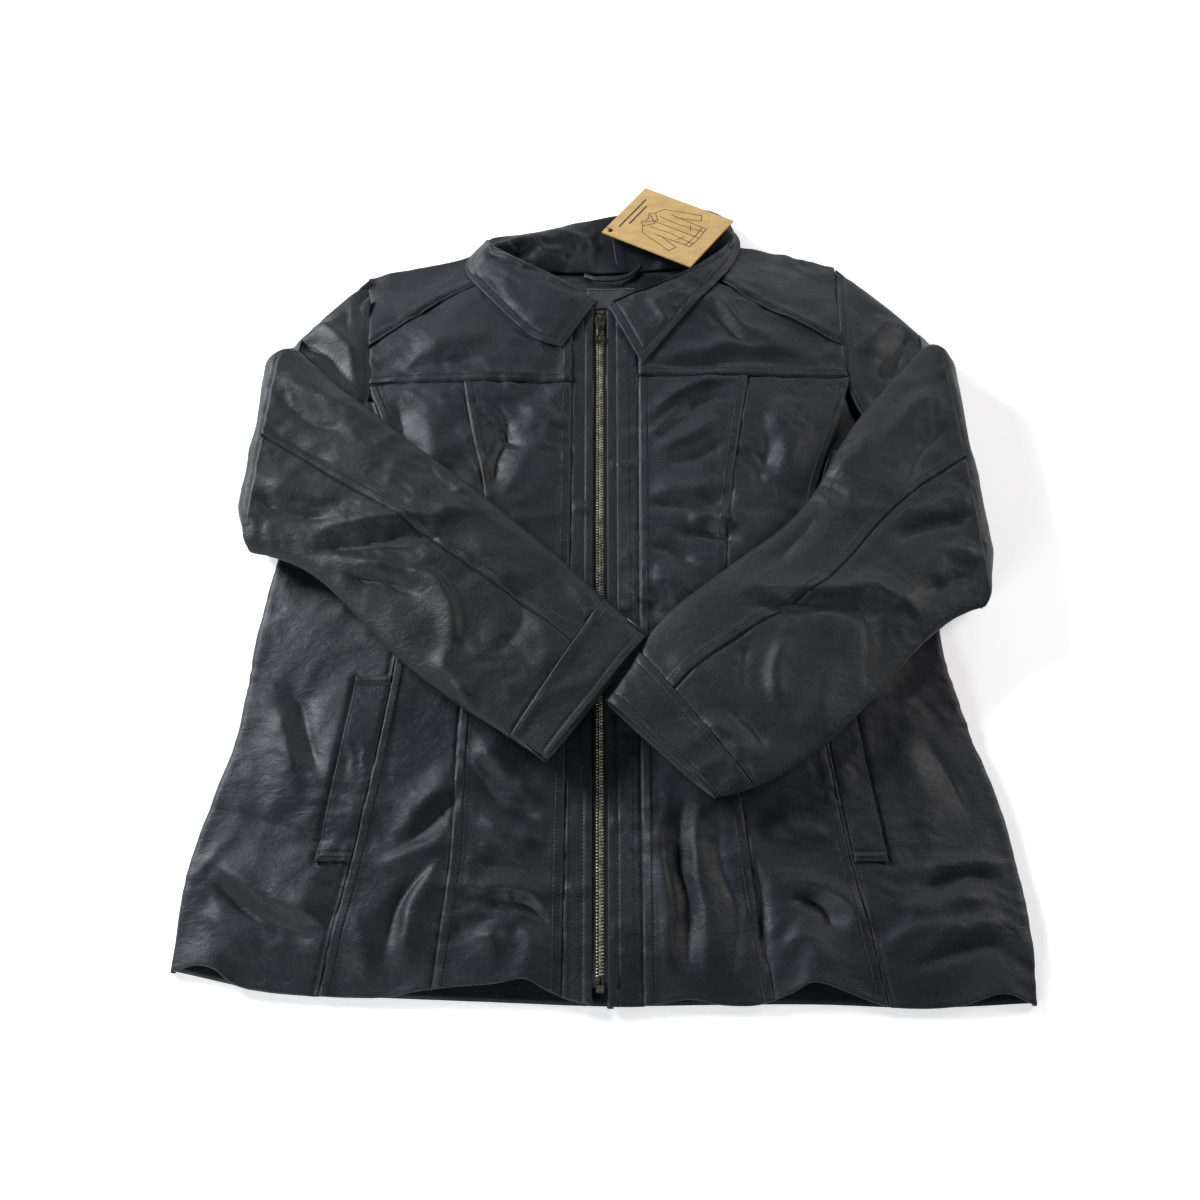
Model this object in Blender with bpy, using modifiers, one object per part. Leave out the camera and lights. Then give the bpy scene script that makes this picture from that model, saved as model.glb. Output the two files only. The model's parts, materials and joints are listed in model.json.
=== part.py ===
"""A zip-front leather jacket with a shirt collar, lying flat on its back.

The sleeves are folded across the front along a line near each elbow, and the zip is closed.
X runs across the jacket, Y from the hem to the collar and Z up from the surface it lies on.
"left" is the -X side. Each piece of leather is a shell of its own, with a gap at each seam.
"""
import math

import bmesh
import bpy
import numpy as np
from mathutils import Matrix, Vector

MM = 0.001
COLLECTION = "zip_front_leather_jacket"

# Materials' thicknesses and the order of the layers, measured down from the outer face.
LEATHER = 1.2 * MM
DOUBLE_LEATHER = 2.2 * MM
CLOTH = 0.6 * MM
SEAM_GAP = 0.5 * MM
CURVED_SEAM_GAP = 3.0 * MM
POCKET_DEPTH = 1.9 * MM
FACING_DEPTH = 2.3 * MM
LINING_DEPTH = 3.3 * MM
BACK_LINING_Z = 2.3 * MM
BACK_YOKE_Y = 200 * MM
LINING_INSET = 8 * MM
LINING_HEM = 18 * MM
WELT_LIFT = 1.6 * MM

# Heights of the flattened body.
EDGE_Z = 9 * MM
CROWN_HEM_Z = 14 * MM
CROWN_CHEST_Z = 28 * MM
CHEST_Y = 120 * MM
SHOULDER_ROLL = 60 * MM
SHOULDER_TURN = 30 * MM

# The zip: a straight, slightly sloping line along Y in the middle of the front.
ZIP_TOP = Vector((0, 284 * MM, 24.5 * MM))
ZIP_FOOT = Vector((0, -316 * MM, 10.5 * MM))
ZIP_LENGTH = (ZIP_TOP - ZIP_FOOT).length
LEATHER_OVER_ZIP = 1.75 * MM
TOOTH_HALF_WIDTH = 2.9 * MM
TOOTH_HALF_HEIGHT = 1.1 * MM
CHAIN_GAP = 0.45 * MM
TAPE_EDGE = 3.2 * MM
TAPE_WIDTH = 11 * MM
PLACKET_EDGE = 7 * MM
FACING_EDGE = 5 * MM
FACING_WIDTH = 50 * MM
SLIDER_START = 14 * MM

# The sleeves.
FOLD_Z = 27 * MM
FOLD_CLEARANCE = 1.5 * MM
ARMHOLE_GAP = 6 * MM
SHORTEST_WRIST = 0.15
HEAD_HALF_HEIGHT = 12.2 * MM
HEAD_CENTRE_Z = 13.2 * MM
SLEEVE_HALF_HEIGHT = 10.5 * MM
SLEEVE_CENTRE_Z = 41 * MM
SECTION_ARC_STEPS = 5
LINING_EASE = 0.8 * MM
LINING_EDGE_EASE = 4 * MM
CUFF_BAND = 40 * MM

# The collar.
ROLL_Z = 31.5 * MM
LEAF_LIFT = 3.4 * MM
LEAF_START = 0.8 * MM

# The hang tag.
TAG_LENGTH = 98 * MM
TAG_WIDTH = 72 * MM
CARD = 0.5 * MM
TAG_HOLE_INSET = 6 * MM
TAG_HOLE_RADIUS = 2.5 * MM
STRING_RADIUS = 0.5 * MM

COLOURS = {
    "leather": ((0.018, 0.019, 0.021), 0.48, 0.0),
    "lining": ((0.008, 0.008, 0.010), 0.60, 0.0),
    "tape": ((0.010, 0.010, 0.011), 0.85, 0.0),
    "metal": ((0.62, 0.57, 0.46), 0.30, 1.0),
    "card": ((0.63, 0.40, 0.14), 0.80, 0.0),
    "string": ((0.22, 0.09, 0.03), 0.85, 0.0),
    "label": ((0.55, 0.55, 0.54), 0.80, 0.0),
}


def mm(*points):
    """Points given in millimetres, as an array in metres."""
    return np.array(points, float) * MM


# Outlines of each side, seen from above. Every list runs from the collar to the hem,
# or from the middle of the front outwards.
OUTLINES = {
    "left": {
        "side": mm((-300, 350), (-300, 220), (-290, 160), (-262, 100), (-266, 36), (-275, -31),
                   (-284, -122), (-306, -200), (-317, -296)),
        "body": mm((-210, 330), (-205, 247), (-203, 190), (-236, 130), (-262, 70), (-266, 36),
                   (-275, -31), (-284, -122), (-306, -200), (-317, -296)),
        "armhole": mm((-212, 330), (-205, 247), (-201, 190)),
        "underarm": mm((-236, 130), (-218, 150), (-202, 190)),
        "placket": mm((-24, 284), (-26, -50), (-29, -322)),
        "princess": mm((-119, 207), (-110, 158), (-97, 92), (-100, 0), (-111, -102),
                       (-114, -220), (-124, -312)),
        "side_front": mm((-203, 207), (-188, 170), (-170, 100), (-160, 0), (-168, -80),
                         (-184, -190), (-208, -312)),
        "forward_seam": mm((-204, 247), (-145, 294), (-104, 317)),
        "neck_edge": mm((-104, 317), (-60, 302), (-24, 283)),
        "shoulder_top": mm((-214, 329), (-137, 347), (-108, 361)),
        "neck_side": mm((-112, 375), (-106, 345), (-103, 300)),
        "yoke_y": 207 * MM,
        "hem": mm((-320, -297), (-263, -312), (-120, -319), (-5, -323)),
        "welt_inner": mm((-166, -70), (-190, -219)),
        "welt_outer": mm((-193, -64), (-215, -217)),
        "welt_y": (-68 * MM, -218 * MM),
        "bag_x": (-186 * MM, -70 * MM),
        "fold": mm((-280, 247), (-294, 45)),
        "head_top": mm((-212, 324), (-246, 284), (-276, 247)),
        "head_low": mm((-236, 131), (-264, 88), (-290, 45)),
        "sleeve_top": mm((-277, 240), (-198, 170), (-93, 82), (-30, 25), (8, -13), (37, -40)),
        "sleeve_low": mm((-290, 38), (-230, 12), (-163, -57), (-109, -100), (-72, -125), (-42, -146)),
        "sleeve_seam": (0.50, 0.50, 0.42, 0.38, 0.35, 0.33),
        "roll": mm((-6, 292), (-104, 352)),
        "leaf_edge": mm((-34, 244), (-58, 252), (-90, 286), (-117, 323)),
    },
    "right": {
        "side": mm((310, 350), (312, 220), (305, 160), (280, 100), (276, 36), (274, -35),
                   (284, -95), (302, -150), (316, -230), (320, -320)),
        "body": mm((214, 340), (214, 247), (217, 200), (246, 140), (272, 80), (276, 36),
                   (274, -35), (284, -95), (302, -150), (316, -230), (320, -320)),
        "armhole": mm((215, 340), (214, 247), (218, 200)),
        "underarm": mm((246, 140), (234, 158), (218, 200)),
        "placket": mm((34, 284), (32, -50), (32, -322)),
        "princess": mm((129, 213), (121, 168), (108, 80), (102, 0), (105, -100),
                       (112, -200), (128, -320)),
        "side_front": mm((218, 213), (205, 165), (183, 100), (172, 0), (174, -100),
                         (190, -215), (212, -320)),
        "forward_seam": mm((214, 249), (140, 291), (108, 317)),
        "neck_edge": mm((108, 317), (65, 303), (34, 284)),
        "shoulder_top": mm((220, 341), (150, 358), (118, 366)),
        "neck_side": mm((124, 380), (116, 348), (108, 300)),
        "yoke_y": 214 * MM,
        "hem": mm((5, -324), (140, -322), (260, -325), (322, -321)),
        "welt_inner": mm((176, -90), (194, -217)),
        "welt_outer": mm((199, -90), (218, -219)),
        "welt_y": (-92 * MM, -218 * MM),
        "bag_x": (75 * MM, 190 * MM),
        "fold": mm((300, 250), (320, -8)),
        "head_top": mm((222, 332), (262, 288), (296, 250)),
        "head_low": mm((248, 140), (284, 70), (315, -8)),
        "sleeve_top": mm((294, 244), (222, 164), (164, 70), (97, 15), (45, -32), (6, -97)),
        "sleeve_low": mm((314, -10), (266, -38), (200, -108), (155, -146), (120, -166), (87, -175)),
        "sleeve_seam": (0.50, 0.47, 0.42, 0.36, 0.32, 0.30),
        "roll": mm((9, 286), (119, 343)),
        "leaf_edge": mm((37, 227), (72, 272), (107, 318), (120, 340)),
    },
}
SIDES = {"left": -1, "right": 1}


def smooth_line(points, steps=8):
    """A Catmull-Rom curve through the points."""
    points = np.asarray(points, float)
    ends = np.vstack([2 * points[0] - points[1], points, 2 * points[-1] - points[-2]])
    curve = []
    for a, b, c, d in zip(ends, ends[1:], ends[2:], ends[3:]):
        for t in np.arange(steps) / steps:
            curve.append(0.5 * (2 * b + (c - a) * t + (2 * a - 5 * b + 4 * c - d) * t ** 2
                                + (3 * b - a - 3 * c + d) * t ** 3))
    curve.append(points[-1])
    return np.array(curve)


def x_of_y(points, shift=0.0):
    """The curve as a function that gives x at a y."""
    curve = smooth_line(points)
    curve = curve[np.argsort(curve[:, 1])]
    return lambda y: float(np.interp(y, curve[:, 1], curve[:, 0])) + shift


def y_of_x(points, shift=0.0):
    """The curve as a function that gives y at an x."""
    curve = smooth_line(points)
    curve = curve[np.argsort(curve[:, 0])]
    return lambda x: float(np.interp(x, curve[:, 0], curve[:, 1])) + shift


def always(value):
    """The function that gives this value everywhere."""
    return lambda _: value


def ease(t):
    """A smooth step from 0 to 1."""
    t = min(max(t, 0.0), 1.0)
    return t * t * (3 - 2 * t)


def mix(a, b, t):
    return a + (b - a) * t


SIDE_X = {side: x_of_y(OUTLINES[side]["side"]) for side in SIDES}
SHOULDER_Y = {side: y_of_x(OUTLINES[side]["shoulder_top"]) for side in SIDES}


def side_of(x):
    return "left" if x < 0 else "right"


def zip_height(y):
    """Height of the zip's middle plane at a y."""
    return float(np.interp(y, (ZIP_FOOT.y, ZIP_TOP.y), (ZIP_FOOT.z, ZIP_TOP.z)))


def front_height(x, y):
    """Height of the front's outer face: crowned, thin at the sides, with a shallow zip valley."""
    side = side_of(x)
    across = min(abs(x / SIDE_X[side](y)), 1.0)
    crown = float(np.interp(y, (ZIP_FOOT.y, CHEST_Y), (CROWN_HEM_Z, CROWN_CHEST_Z)))
    shoulder = ease((SHOULDER_Y[side](x) - y) / SHOULDER_ROLL)
    puffed = mix(EDGE_Z, crown, (1 - across ** 3) * shoulder)
    valley = zip_height(y) + LEATHER_OVER_ZIP
    return mix(valley, puffed, ease((abs(x) - 16 * MM) / (60 * MM)))


# ---------------------------------------------------------------- building blocks

def new_collection(name):
    collection = bpy.data.collections.new(name)
    bpy.context.scene.collection.children.link(collection)
    return collection


def make_materials():
    """One Principled material for each entry in COLOURS."""
    made = {}
    for name, (colour, roughness, metallic) in COLOURS.items():
        material = bpy.data.materials.new(name)
        material.use_nodes = True
        shader = material.node_tree.nodes["Principled BSDF"]
        shader.inputs["Base Color"].default_value = (*colour, 1)
        shader.inputs["Roughness"].default_value = roughness
        shader.inputs["Metallic"].default_value = metallic
        made[name] = material
    return made


def add_mesh(name, vertices, faces, material):
    mesh = bpy.data.meshes.new(name)
    mesh.from_pydata([tuple(v) for v in vertices], [], faces)
    return add_object(name, mesh, material)


def add_object(name, mesh, material):
    """Put a mesh in the scene under its own copy of a material."""
    thing = bpy.data.objects.new(name, mesh)
    own = MATERIALS[material].copy()
    own.name = name
    thing.data.materials.clear()
    thing.data.materials.append(own)
    PARTS.objects.link(thing)
    return thing


def solidify(thing, thickness, offset=-1):
    shell = thing.modifiers.new("thickness", "SOLIDIFY")
    shell.thickness = thickness
    shell.offset = offset
    return thing


def sheet(name, rows, thickness, material, ring=False):
    """A shell over rows of points; ring joins each row's end to its start."""
    columns = len(rows[0])
    spans = columns if ring else columns - 1
    faces = []
    for r in range(len(rows) - 1):
        for c in range(spans):
            a, b = r * columns + c, r * columns + (c + 1) % columns
            faces.append((a, a + columns, b + columns, b))
    thing = add_mesh(name, [p for row in rows for p in row], faces, material)
    return solidify(thing, thickness)


def patch(left, right, top, bottom, height, columns, rows):
    """Rows of points that fill the outline between two functions of y and two of x."""
    grid = []
    for v in np.linspace(0, 1, rows + 1):
        row = []
        for u in np.linspace(0, 1, columns + 1):
            y = mix(top(0.5 * (left(0) + right(0))), bottom(0.5 * (left(0) + right(0))), v)
            for _ in range(6):
                x = mix(left(y), right(y), u)
                y = mix(top(x), bottom(x), v)
            row.append((x, y, height(x, y)))
        grid.append(row)
    return grid


def seamed_sheet(name, left, right, top, bottom, height, thickness, material, columns, rows):
    """A sheet whose edges keep half a seam's gap inside its outline."""
    half = SEAM_GAP / 2
    grid = patch(lambda y: left(y) + half, lambda y: right(y) - half,
                 lambda x: top(x) - half, lambda x: bottom(x) + half, height, columns, rows)
    return sheet(name, grid, thickness, material)


def panel(name, left, right, top, bottom, depth, thickness, material, columns, rows):
    """A piece of the front: its outer face lies a depth below the front's outer face."""
    return seamed_sheet(name, left, right, top, bottom,
                        lambda x, y: front_height(x, y) - depth,
                        thickness, material, columns, rows)


def flat_panel(name, left, right, top, bottom, z_top, thickness, material, columns, rows):
    """A piece of the back, lying level."""
    return seamed_sheet(name, left, right, top, bottom, lambda x, y: z_top,
                        thickness, material, columns, rows)


def in_order(side, inner, outer):
    """The two edges as left and right ones."""
    return (outer, inner) if side == "left" else (inner, outer)


def box(name, low, high, material):
    """A box between two corners, as its own object."""
    low, high = Vector(low), Vector(high)
    mesh = bpy.data.meshes.new(name)
    shape = bmesh.new()
    bmesh.ops.create_cube(shape, size=1)
    size = high - low
    place = Matrix.Translation((low + high) / 2) @ Matrix.Diagonal((*size, 1))
    bmesh.ops.transform(shape, matrix=place, verts=shape.verts)
    shape.to_mesh(mesh)
    shape.free()
    return add_object(name, mesh, material)


def cylinder(name, start, end, radius, material, segments=16):
    """A round bar between two points."""
    start, end = Vector(start), Vector(end)
    mesh = bpy.data.meshes.new(name)
    shape = bmesh.new()
    bmesh.ops.create_cone(shape, cap_ends=True, segments=segments, radius1=radius,
                          radius2=radius, depth=(end - start).length)
    turn = (end - start).to_track_quat("Z", "Y").to_matrix().to_4x4()
    place = Matrix.Translation((start + end) / 2) @ turn
    bmesh.ops.transform(shape, matrix=place, verts=shape.verts)
    shape.to_mesh(mesh)
    shape.free()
    return add_object(name, mesh, material)


def curve_mesh(name, curve, merge, lift=0.0):
    """A curve object's surface as a closed mesh, raised by a height."""
    guide = bpy.data.objects.new(name + "_curve", curve)
    PARTS.objects.link(guide)
    bpy.context.view_layer.update()
    seen = guide.evaluated_get(bpy.context.evaluated_depsgraph_get())
    mesh = bpy.data.meshes.new_from_object(seen)
    bpy.data.objects.remove(guide)
    shape = bmesh.new()
    shape.from_mesh(mesh)
    bmesh.ops.remove_doubles(shape, verts=shape.verts, dist=merge)
    bmesh.ops.translate(shape, verts=shape.verts, vec=(0, 0, lift))
    bmesh.ops.recalc_face_normals(shape, faces=shape.faces)
    shape.to_mesh(mesh)
    shape.free()
    return mesh


def wire(name, points, radius, material, closed=False):
    """A round wire along the points, with closed ends."""
    curve = bpy.data.curves.new(name, "CURVE")
    curve.dimensions = "3D"
    curve.bevel_depth = radius
    curve.bevel_resolution = 1
    curve.use_fill_caps = not closed
    line = curve.splines.new("POLY")
    line.points.add(len(points) - 1)
    for point, place in zip(line.points, points):
        point.co = (*place, 1)
    line.use_cyclic_u = closed
    return add_object(name, curve_mesh(name, curve, 0.01 * MM), material)


def hide_cutter(tool):
    PARTS.objects.unlink(tool)
    CUTTERS.objects.link(tool)
    tool.hide_render = True
    tool.display_type = "WIRE"


def combine(thing, tool, operation):
    """Join a tool to a piece, or cut it away, with an exact Boolean."""
    step = thing.modifiers.new(tool.name, "BOOLEAN")
    step.object = tool
    step.operation = operation
    step.solver = "EXACT"
    tool.parent = thing.parent
    hide_cutter(tool)


def empty(name, matrix, parent=None):
    """A joint's or a group's reference frame."""
    frame = bpy.data.objects.new(name, None)
    frame.empty_display_size = 20 * MM
    GUIDES.objects.link(frame)
    frame.parent = parent
    frame.matrix_basis = matrix
    return frame


def world_matrix(frame):
    matrix = frame.matrix_basis.copy()
    while frame.parent:
        frame = frame.parent
        matrix = frame.matrix_basis @ matrix
    return matrix


def hang_on(frame, *things):
    """Move the meshes, which are in world places, under a frame without moving them."""
    back = world_matrix(frame).inverted()
    for thing in things:
        thing.data.transform(back)
        thing.parent = frame


def hinge_frame(name, start, end, z):
    """An empty halfway along a hinge line, with its local Y along the line."""
    start, end = Vector((*start, z)), Vector((*end, z))
    along = (end - start).normalized()
    up = Vector((0, 0, 1))
    turn = Matrix((along.cross(up), along, up)).transposed().to_4x4()
    return empty(name, Matrix.Translation((start + end) / 2) @ turn)


# ---------------------------------------------------------------- body

def make_front(side):
    """The front's leather panels, facing and lining on one side."""
    line = OUTLINES[side]
    sign = SIDES[side]
    placket, princess = x_of_y(line["placket"]), x_of_y(line["princess"])
    side_front, contour = x_of_y(line["side_front"]), x_of_y(line["body"])
    armhole, hem = x_of_y(line["armhole"]), y_of_x(line["hem"])
    yoke, neck = always(line["yoke_y"]), always(ZIP_TOP.y)
    zip_edge = always(sign * PLACKET_EDGE)

    panel(f"placket_{side}", *in_order(side, zip_edge, placket), neck, hem,
          0, LEATHER, "leather", 2, 12)
    panel(f"front_centre_{side}", *in_order(side, placket, princess), yoke, hem,
          0, LEATHER, "leather", 3, 10)
    panel(f"front_middle_{side}", *in_order(side, princess, side_front), yoke, hem,
          0, LEATHER, "leather", 3, 10)
    side_front_outer = x_of_y(line["side_front"], sign * CURVED_SEAM_GAP)
    panel(f"front_side_{side}", *in_order(side, side_front_outer, contour),
          y_of_x(line["underarm"]), hem, 0, LEATHER, "leather", 3, 9)
    yoke_top = y_of_x(np.vstack([line["forward_seam"], line["neck_edge"][1:]]))
    panel(f"front_yoke_{side}", *in_order(side, placket, armhole), yoke_top, yoke,
          0, LEATHER, "leather", 6, 3)

    facing_in = always(sign * FACING_EDGE)
    facing_out = always(sign * (FACING_EDGE + FACING_WIDTH))
    panel(f"facing_{side}", *in_order(side, facing_in, facing_out),
          lambda x: min(yoke_top(x), ZIP_TOP.y), hem, FACING_DEPTH, LEATHER, "leather", 2, 12)
    panel(f"lining_front_{side}",
          *in_order(side, facing_out, lambda y: contour(y) - sign * LINING_INSET),
          lambda x: yoke_top(x) - 2 * LINING_INSET, lambda x: hem(x) + LINING_HEM,
          LINING_DEPTH, CLOTH, "lining", 4, 10)


def make_shoulder(side):
    """The part of the back yoke that comes over the shoulder to the forward seam."""
    line = OUTLINES[side]
    half = SEAM_GAP / 2
    sign = SIDES[side]
    seam, crest = y_of_x(line["forward_seam"]), SHOULDER_Y[side]
    neck_side, armhole = x_of_y(line["neck_side"]), x_of_y(line["armhole"])
    rows = []
    for v in (0, 0.35, 0.7, 0.92):
        row = []
        for u in np.linspace(0, 1, 6):
            x = mix(armhole(crest(armhole(0.3))), neck_side(0.33), u)
            y = mix(seam(x) + CURVED_SEAM_GAP, crest(x), v)
            x = mix(armhole(y) - sign * half, neck_side(y) + sign * half, u)
            y = mix(seam(x) + CURVED_SEAM_GAP, crest(x), v)
            row.append((x, y, front_height(x, y)))
        rows.append(row)
    over = [(x, crest(x)) for x, _, _ in rows[-1]]
    rows.append([(x, y, 5.5 * MM) for x, y in over])
    rows.append([(x, y - 3 * MM, 0.8 * MM) for x, y in over])
    rows.append([(x, y - SHOULDER_TURN, 0.0) for x, y in over])
    if side == "left":
        rows = rows[::-1]
    sheet(f"shoulder_{side}", rows, LEATHER, "leather")


def make_back():
    """The back panel, back yoke and back lining."""
    left, right = x_of_y(OUTLINES["left"]["body"]), x_of_y(OUTLINES["right"]["body"])
    hem = y_of_x(np.vstack([OUTLINES[side]["hem"] for side in SIDES]))
    yoke = always(BACK_YOKE_Y)
    neck = y_of_x(mm((-104, 330), (-60, 333), (0, 331), (60, 335), (110, 333)))

    def top(x):
        """The back yoke ends at the neck seam, and at the turned part of each shoulder."""
        crest = SHOULDER_Y[side_of(x)](x) - SHOULDER_TURN - 3 * SEAM_GAP
        return min(neck(x), crest)

    flat_panel("back_panel", left, right, yoke, hem, LEATHER, LEATHER, "leather", 8, 9)
    flat_panel("back_yoke", left, right, top, yoke, LEATHER, LEATHER, "leather", 12, 3)
    flat_panel("lining_back", lambda y: left(y) + LINING_INSET, lambda y: right(y) - LINING_INSET,
               lambda x: top(x) - LINING_INSET, lambda x: hem(x) + LINING_HEM,
               BACK_LINING_Z, CLOTH, "lining", 8, 10)


def make_pocket(side):
    """A welt on the side panel and the bag behind it."""
    line = OUTLINES[side]
    high, low = line["welt_y"]
    inner, outer = x_of_y(line["welt_inner"]), x_of_y(line["welt_outer"])
    panel(f"pocket_welt_{side}", *in_order(side, inner, outer), always(high), always(low),
          -WELT_LIFT, LEATHER, "leather", 1, 5)
    panel(f"pocket_bag_{side}", *(always(x) for x in line["bag_x"]),
          always(high - 5 * MM), always(low - 25 * MM), POCKET_DEPTH, CLOTH, "lining", 3, 4)


# ---------------------------------------------------------------- zip

def make_zip():
    """The closed zip, in a frame whose Y runs up the chain from the bottom end."""
    along = (ZIP_TOP - ZIP_FOOT).normalized()
    across = Vector((1, 0, 0))
    turn = Matrix((across, along, across.cross(along))).transposed().to_4x4()
    frame = empty("zip_frame", Matrix.Translation(ZIP_FOOT) @ turn)
    stop, box_end = 4 * MM, 12 * MM
    top = ZIP_LENGTH - stop
    for side, sign in SIDES.items():
        edge = sorted((sign * TAPE_EDGE, sign * (TAPE_EDGE + TAPE_WIDTH)))
        tape = box(f"zip_tape_{side}", (edge[0], 1 * MM, -0.25 * MM),
                   (edge[1], ZIP_LENGTH - 1 * MM, 0.25 * MM), "tape")
        bar = sorted((sign * CHAIN_GAP, sign * TOOTH_HALF_WIDTH))
        chain = box(f"zip_teeth_{side}", (bar[0], box_end, -TOOTH_HALF_HEIGHT),
                    (bar[1], top, TOOTH_HALF_HEIGHT), "metal")
        clip = box(f"zip_top_stop_{side}", (bar[0], top + 0.4 * MM, -1.3 * MM),
                   (bar[1], ZIP_LENGTH - 0.3 * MM, 1.3 * MM), "metal")
        for piece in (tape, chain, clip):
            piece.parent = frame
    pin = box("zip_pin", (-TOOTH_HALF_WIDTH, 6.5 * MM, -TOOTH_HALF_HEIGHT),
              (-CHAIN_GAP, box_end - 0.4 * MM, TOOTH_HALF_HEIGHT), "metal")
    retainer = box("zip_box", (-TOOTH_HALF_WIDTH, 0.5 * MM, -1.5 * MM),
                   (TOOTH_HALF_WIDTH, 6 * MM, 1.5 * MM), "metal")
    for piece in (pin, retainer):
        piece.parent = frame
    make_slider(frame)


def plate(name, outline, low, high, material):
    """A flat plate with the given outline between two heights."""
    curve = bpy.data.curves.new(name, "CURVE")
    curve.dimensions = "2D"
    curve.fill_mode = "BOTH"
    curve.extrude = (high - low) / 2
    line = curve.splines.new("POLY")
    line.points.add(len(outline) - 1)
    for point, (x, y) in zip(line.points, outline):
        point.co = (x, y, 0, 1)
    line.use_cyclic_u = True
    mesh = curve_mesh(name, curve, 0.001 * MM, (low + high) / 2)
    return add_object(name, mesh, material)


def make_slider(frame):
    """The slider, its link and its ring, each on the axis it turns about."""
    at = ZIP_LENGTH - SLIDER_START
    ride = empty("zip_slider_frame", Matrix.Translation((0, at, 0)), frame)
    wide, narrow, long = 4.6 * MM, 3.6 * MM, 6.4 * MM
    inner, outer = 1.5 * MM, 2.6 * MM
    outline = [(-narrow, -long), (narrow, -long), (wide, 0.2 * long), (wide, 0.8 * long),
               (0.6 * wide, long), (-0.6 * wide, long), (-wide, 0.8 * long), (-wide, 0.2 * long)]
    slider = plate("zip_slider", outline, inner, outer, "metal")
    pieces = [plate("slider_under_plate", outline, -outer, -inner, "metal"),
              box("slider_post", (-0.2 * MM, 1 * MM, -outer + 0.4 * MM),
                  (0.2 * MM, 5 * MM, outer - 0.4 * MM), "metal")]
    for sign in (-1, 1):
        rim = sorted((sign * (TOOTH_HALF_WIDTH + 0.3 * MM), sign * (narrow - 0.05 * MM)))
        for level in (-1, 1):
            span = sorted((level * 0.7 * MM, level * (inner + 0.3 * MM)))
            pieces.append(box("slider_rim", (rim[0], -0.9 * long, span[0]),
                              (rim[1], 0.2 * long, span[1]), "metal"))
    bridge_top = outer + 3.0 * MM
    bar = 0.55 * MM
    pieces.append(box("slider_bridge", (-bar, -5.2 * MM, bridge_top - 0.9 * MM),
                      (bar, 3 * MM, bridge_top), "metal"))
    for low, high in ((-5.2 * MM, -4.2 * MM), (2 * MM, 3 * MM)):
        pieces.append(box("slider_bridge_foot", (-bar, low, outer - 0.3 * MM),
                          (bar, high, bridge_top - 0.4 * MM), "metal"))
    slider.parent = ride
    for piece in pieces:
        combine(slider, piece, "UNION")

    link_axis = Vector((0, -2.9 * MM, outer + 1.15 * MM))
    link_hinge = empty("zip_link_hinge", Matrix.Translation(link_axis), ride)
    half, reach, gauge = 2.6 * MM, 5.4 * MM, 0.5 * MM
    link = wire("zip_pull_link", [(-half, 0, 0), (-half, -reach, 0), (half, -reach, 0),
                                  (half, 0, 0)], gauge, "metal", closed=True)
    link.parent = link_hinge

    ring_hinge = empty("zip_ring_hinge", Matrix.Translation((0, -reach, 0)), link_hinge)
    barrel = cylinder("zip_pull_ring", (-1.5 * MM, 0, 0), (1.5 * MM, 0, 0), 1.3 * MM, "metal")
    ring_centre = -10.2 * MM
    handle = box("pull_neck", (-1.2 * MM, -6.6 * MM, -0.6 * MM),
                 (1.2 * MM, -0.9 * MM, 0.6 * MM), "metal")
    disc = cylinder("pull_disc", (0, ring_centre, -0.65 * MM), (0, ring_centre, 0.65 * MM),
                    4.4 * MM, "metal", 20)
    eye = cylinder("pull_eye", (0, ring_centre, -2 * MM), (0, ring_centre, 2 * MM),
                   2.2 * MM, "metal", 20)
    bore = cylinder("pull_bore", (-2 * MM, 0, 0), (2 * MM, 0, 0), 0.8 * MM, "metal", 12)
    barrel.parent = ring_hinge
    for tool, operation in ((handle, "UNION"), (disc, "UNION"), (eye, "DIFFERENCE"),
                            (bore, "DIFFERENCE")):
        combine(barrel, tool, operation)


# ---------------------------------------------------------------- collar

def make_collar():
    """The stand round the neck, the fall behind it and the two leaves in front."""
    neck_seam = mm((-9, 288, 26), (-58, 309, 24.5), (-94, 326, 20), (-100, 344, 12), (-60, 342, 6),
                   (0, 340, 5.5), (62, 345, 6), (110, 345, 12), (103, 325, 20), (64, 309, 24.5),
                   (9, 289, 26))
    roll_line = mm((-8, 295, 27), (-32, 317, 27), (-84, 344, 27), (-102, 368, 18),
                   (-56, 381, 10), (-8, 395, 9), (60, 409, 9), (112, 402, 10), (119, 368, 18),
                   (75, 326, 27), (12, 294, 27))
    low, high = smooth_line(neck_seam, 2), smooth_line(roll_line, 2)
    rows = [[mix(a, b, t) for a, b in zip(low, high)] for t in (0, 0.5, 1)]
    sheet("collar_stand", rows[::-1], DOUBLE_LEATHER, "leather")

    roll = y_of_x(roll_line[3:9, :2], -4 * MM)
    flat_panel("collar_back_fall", always(-98 * MM), always(112 * MM), roll,
               always(352 * MM), LEATHER, LEATHER, "leather", 8, 2)

    for side, sign in SIDES.items():
        make_leaf(side, sign)


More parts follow.
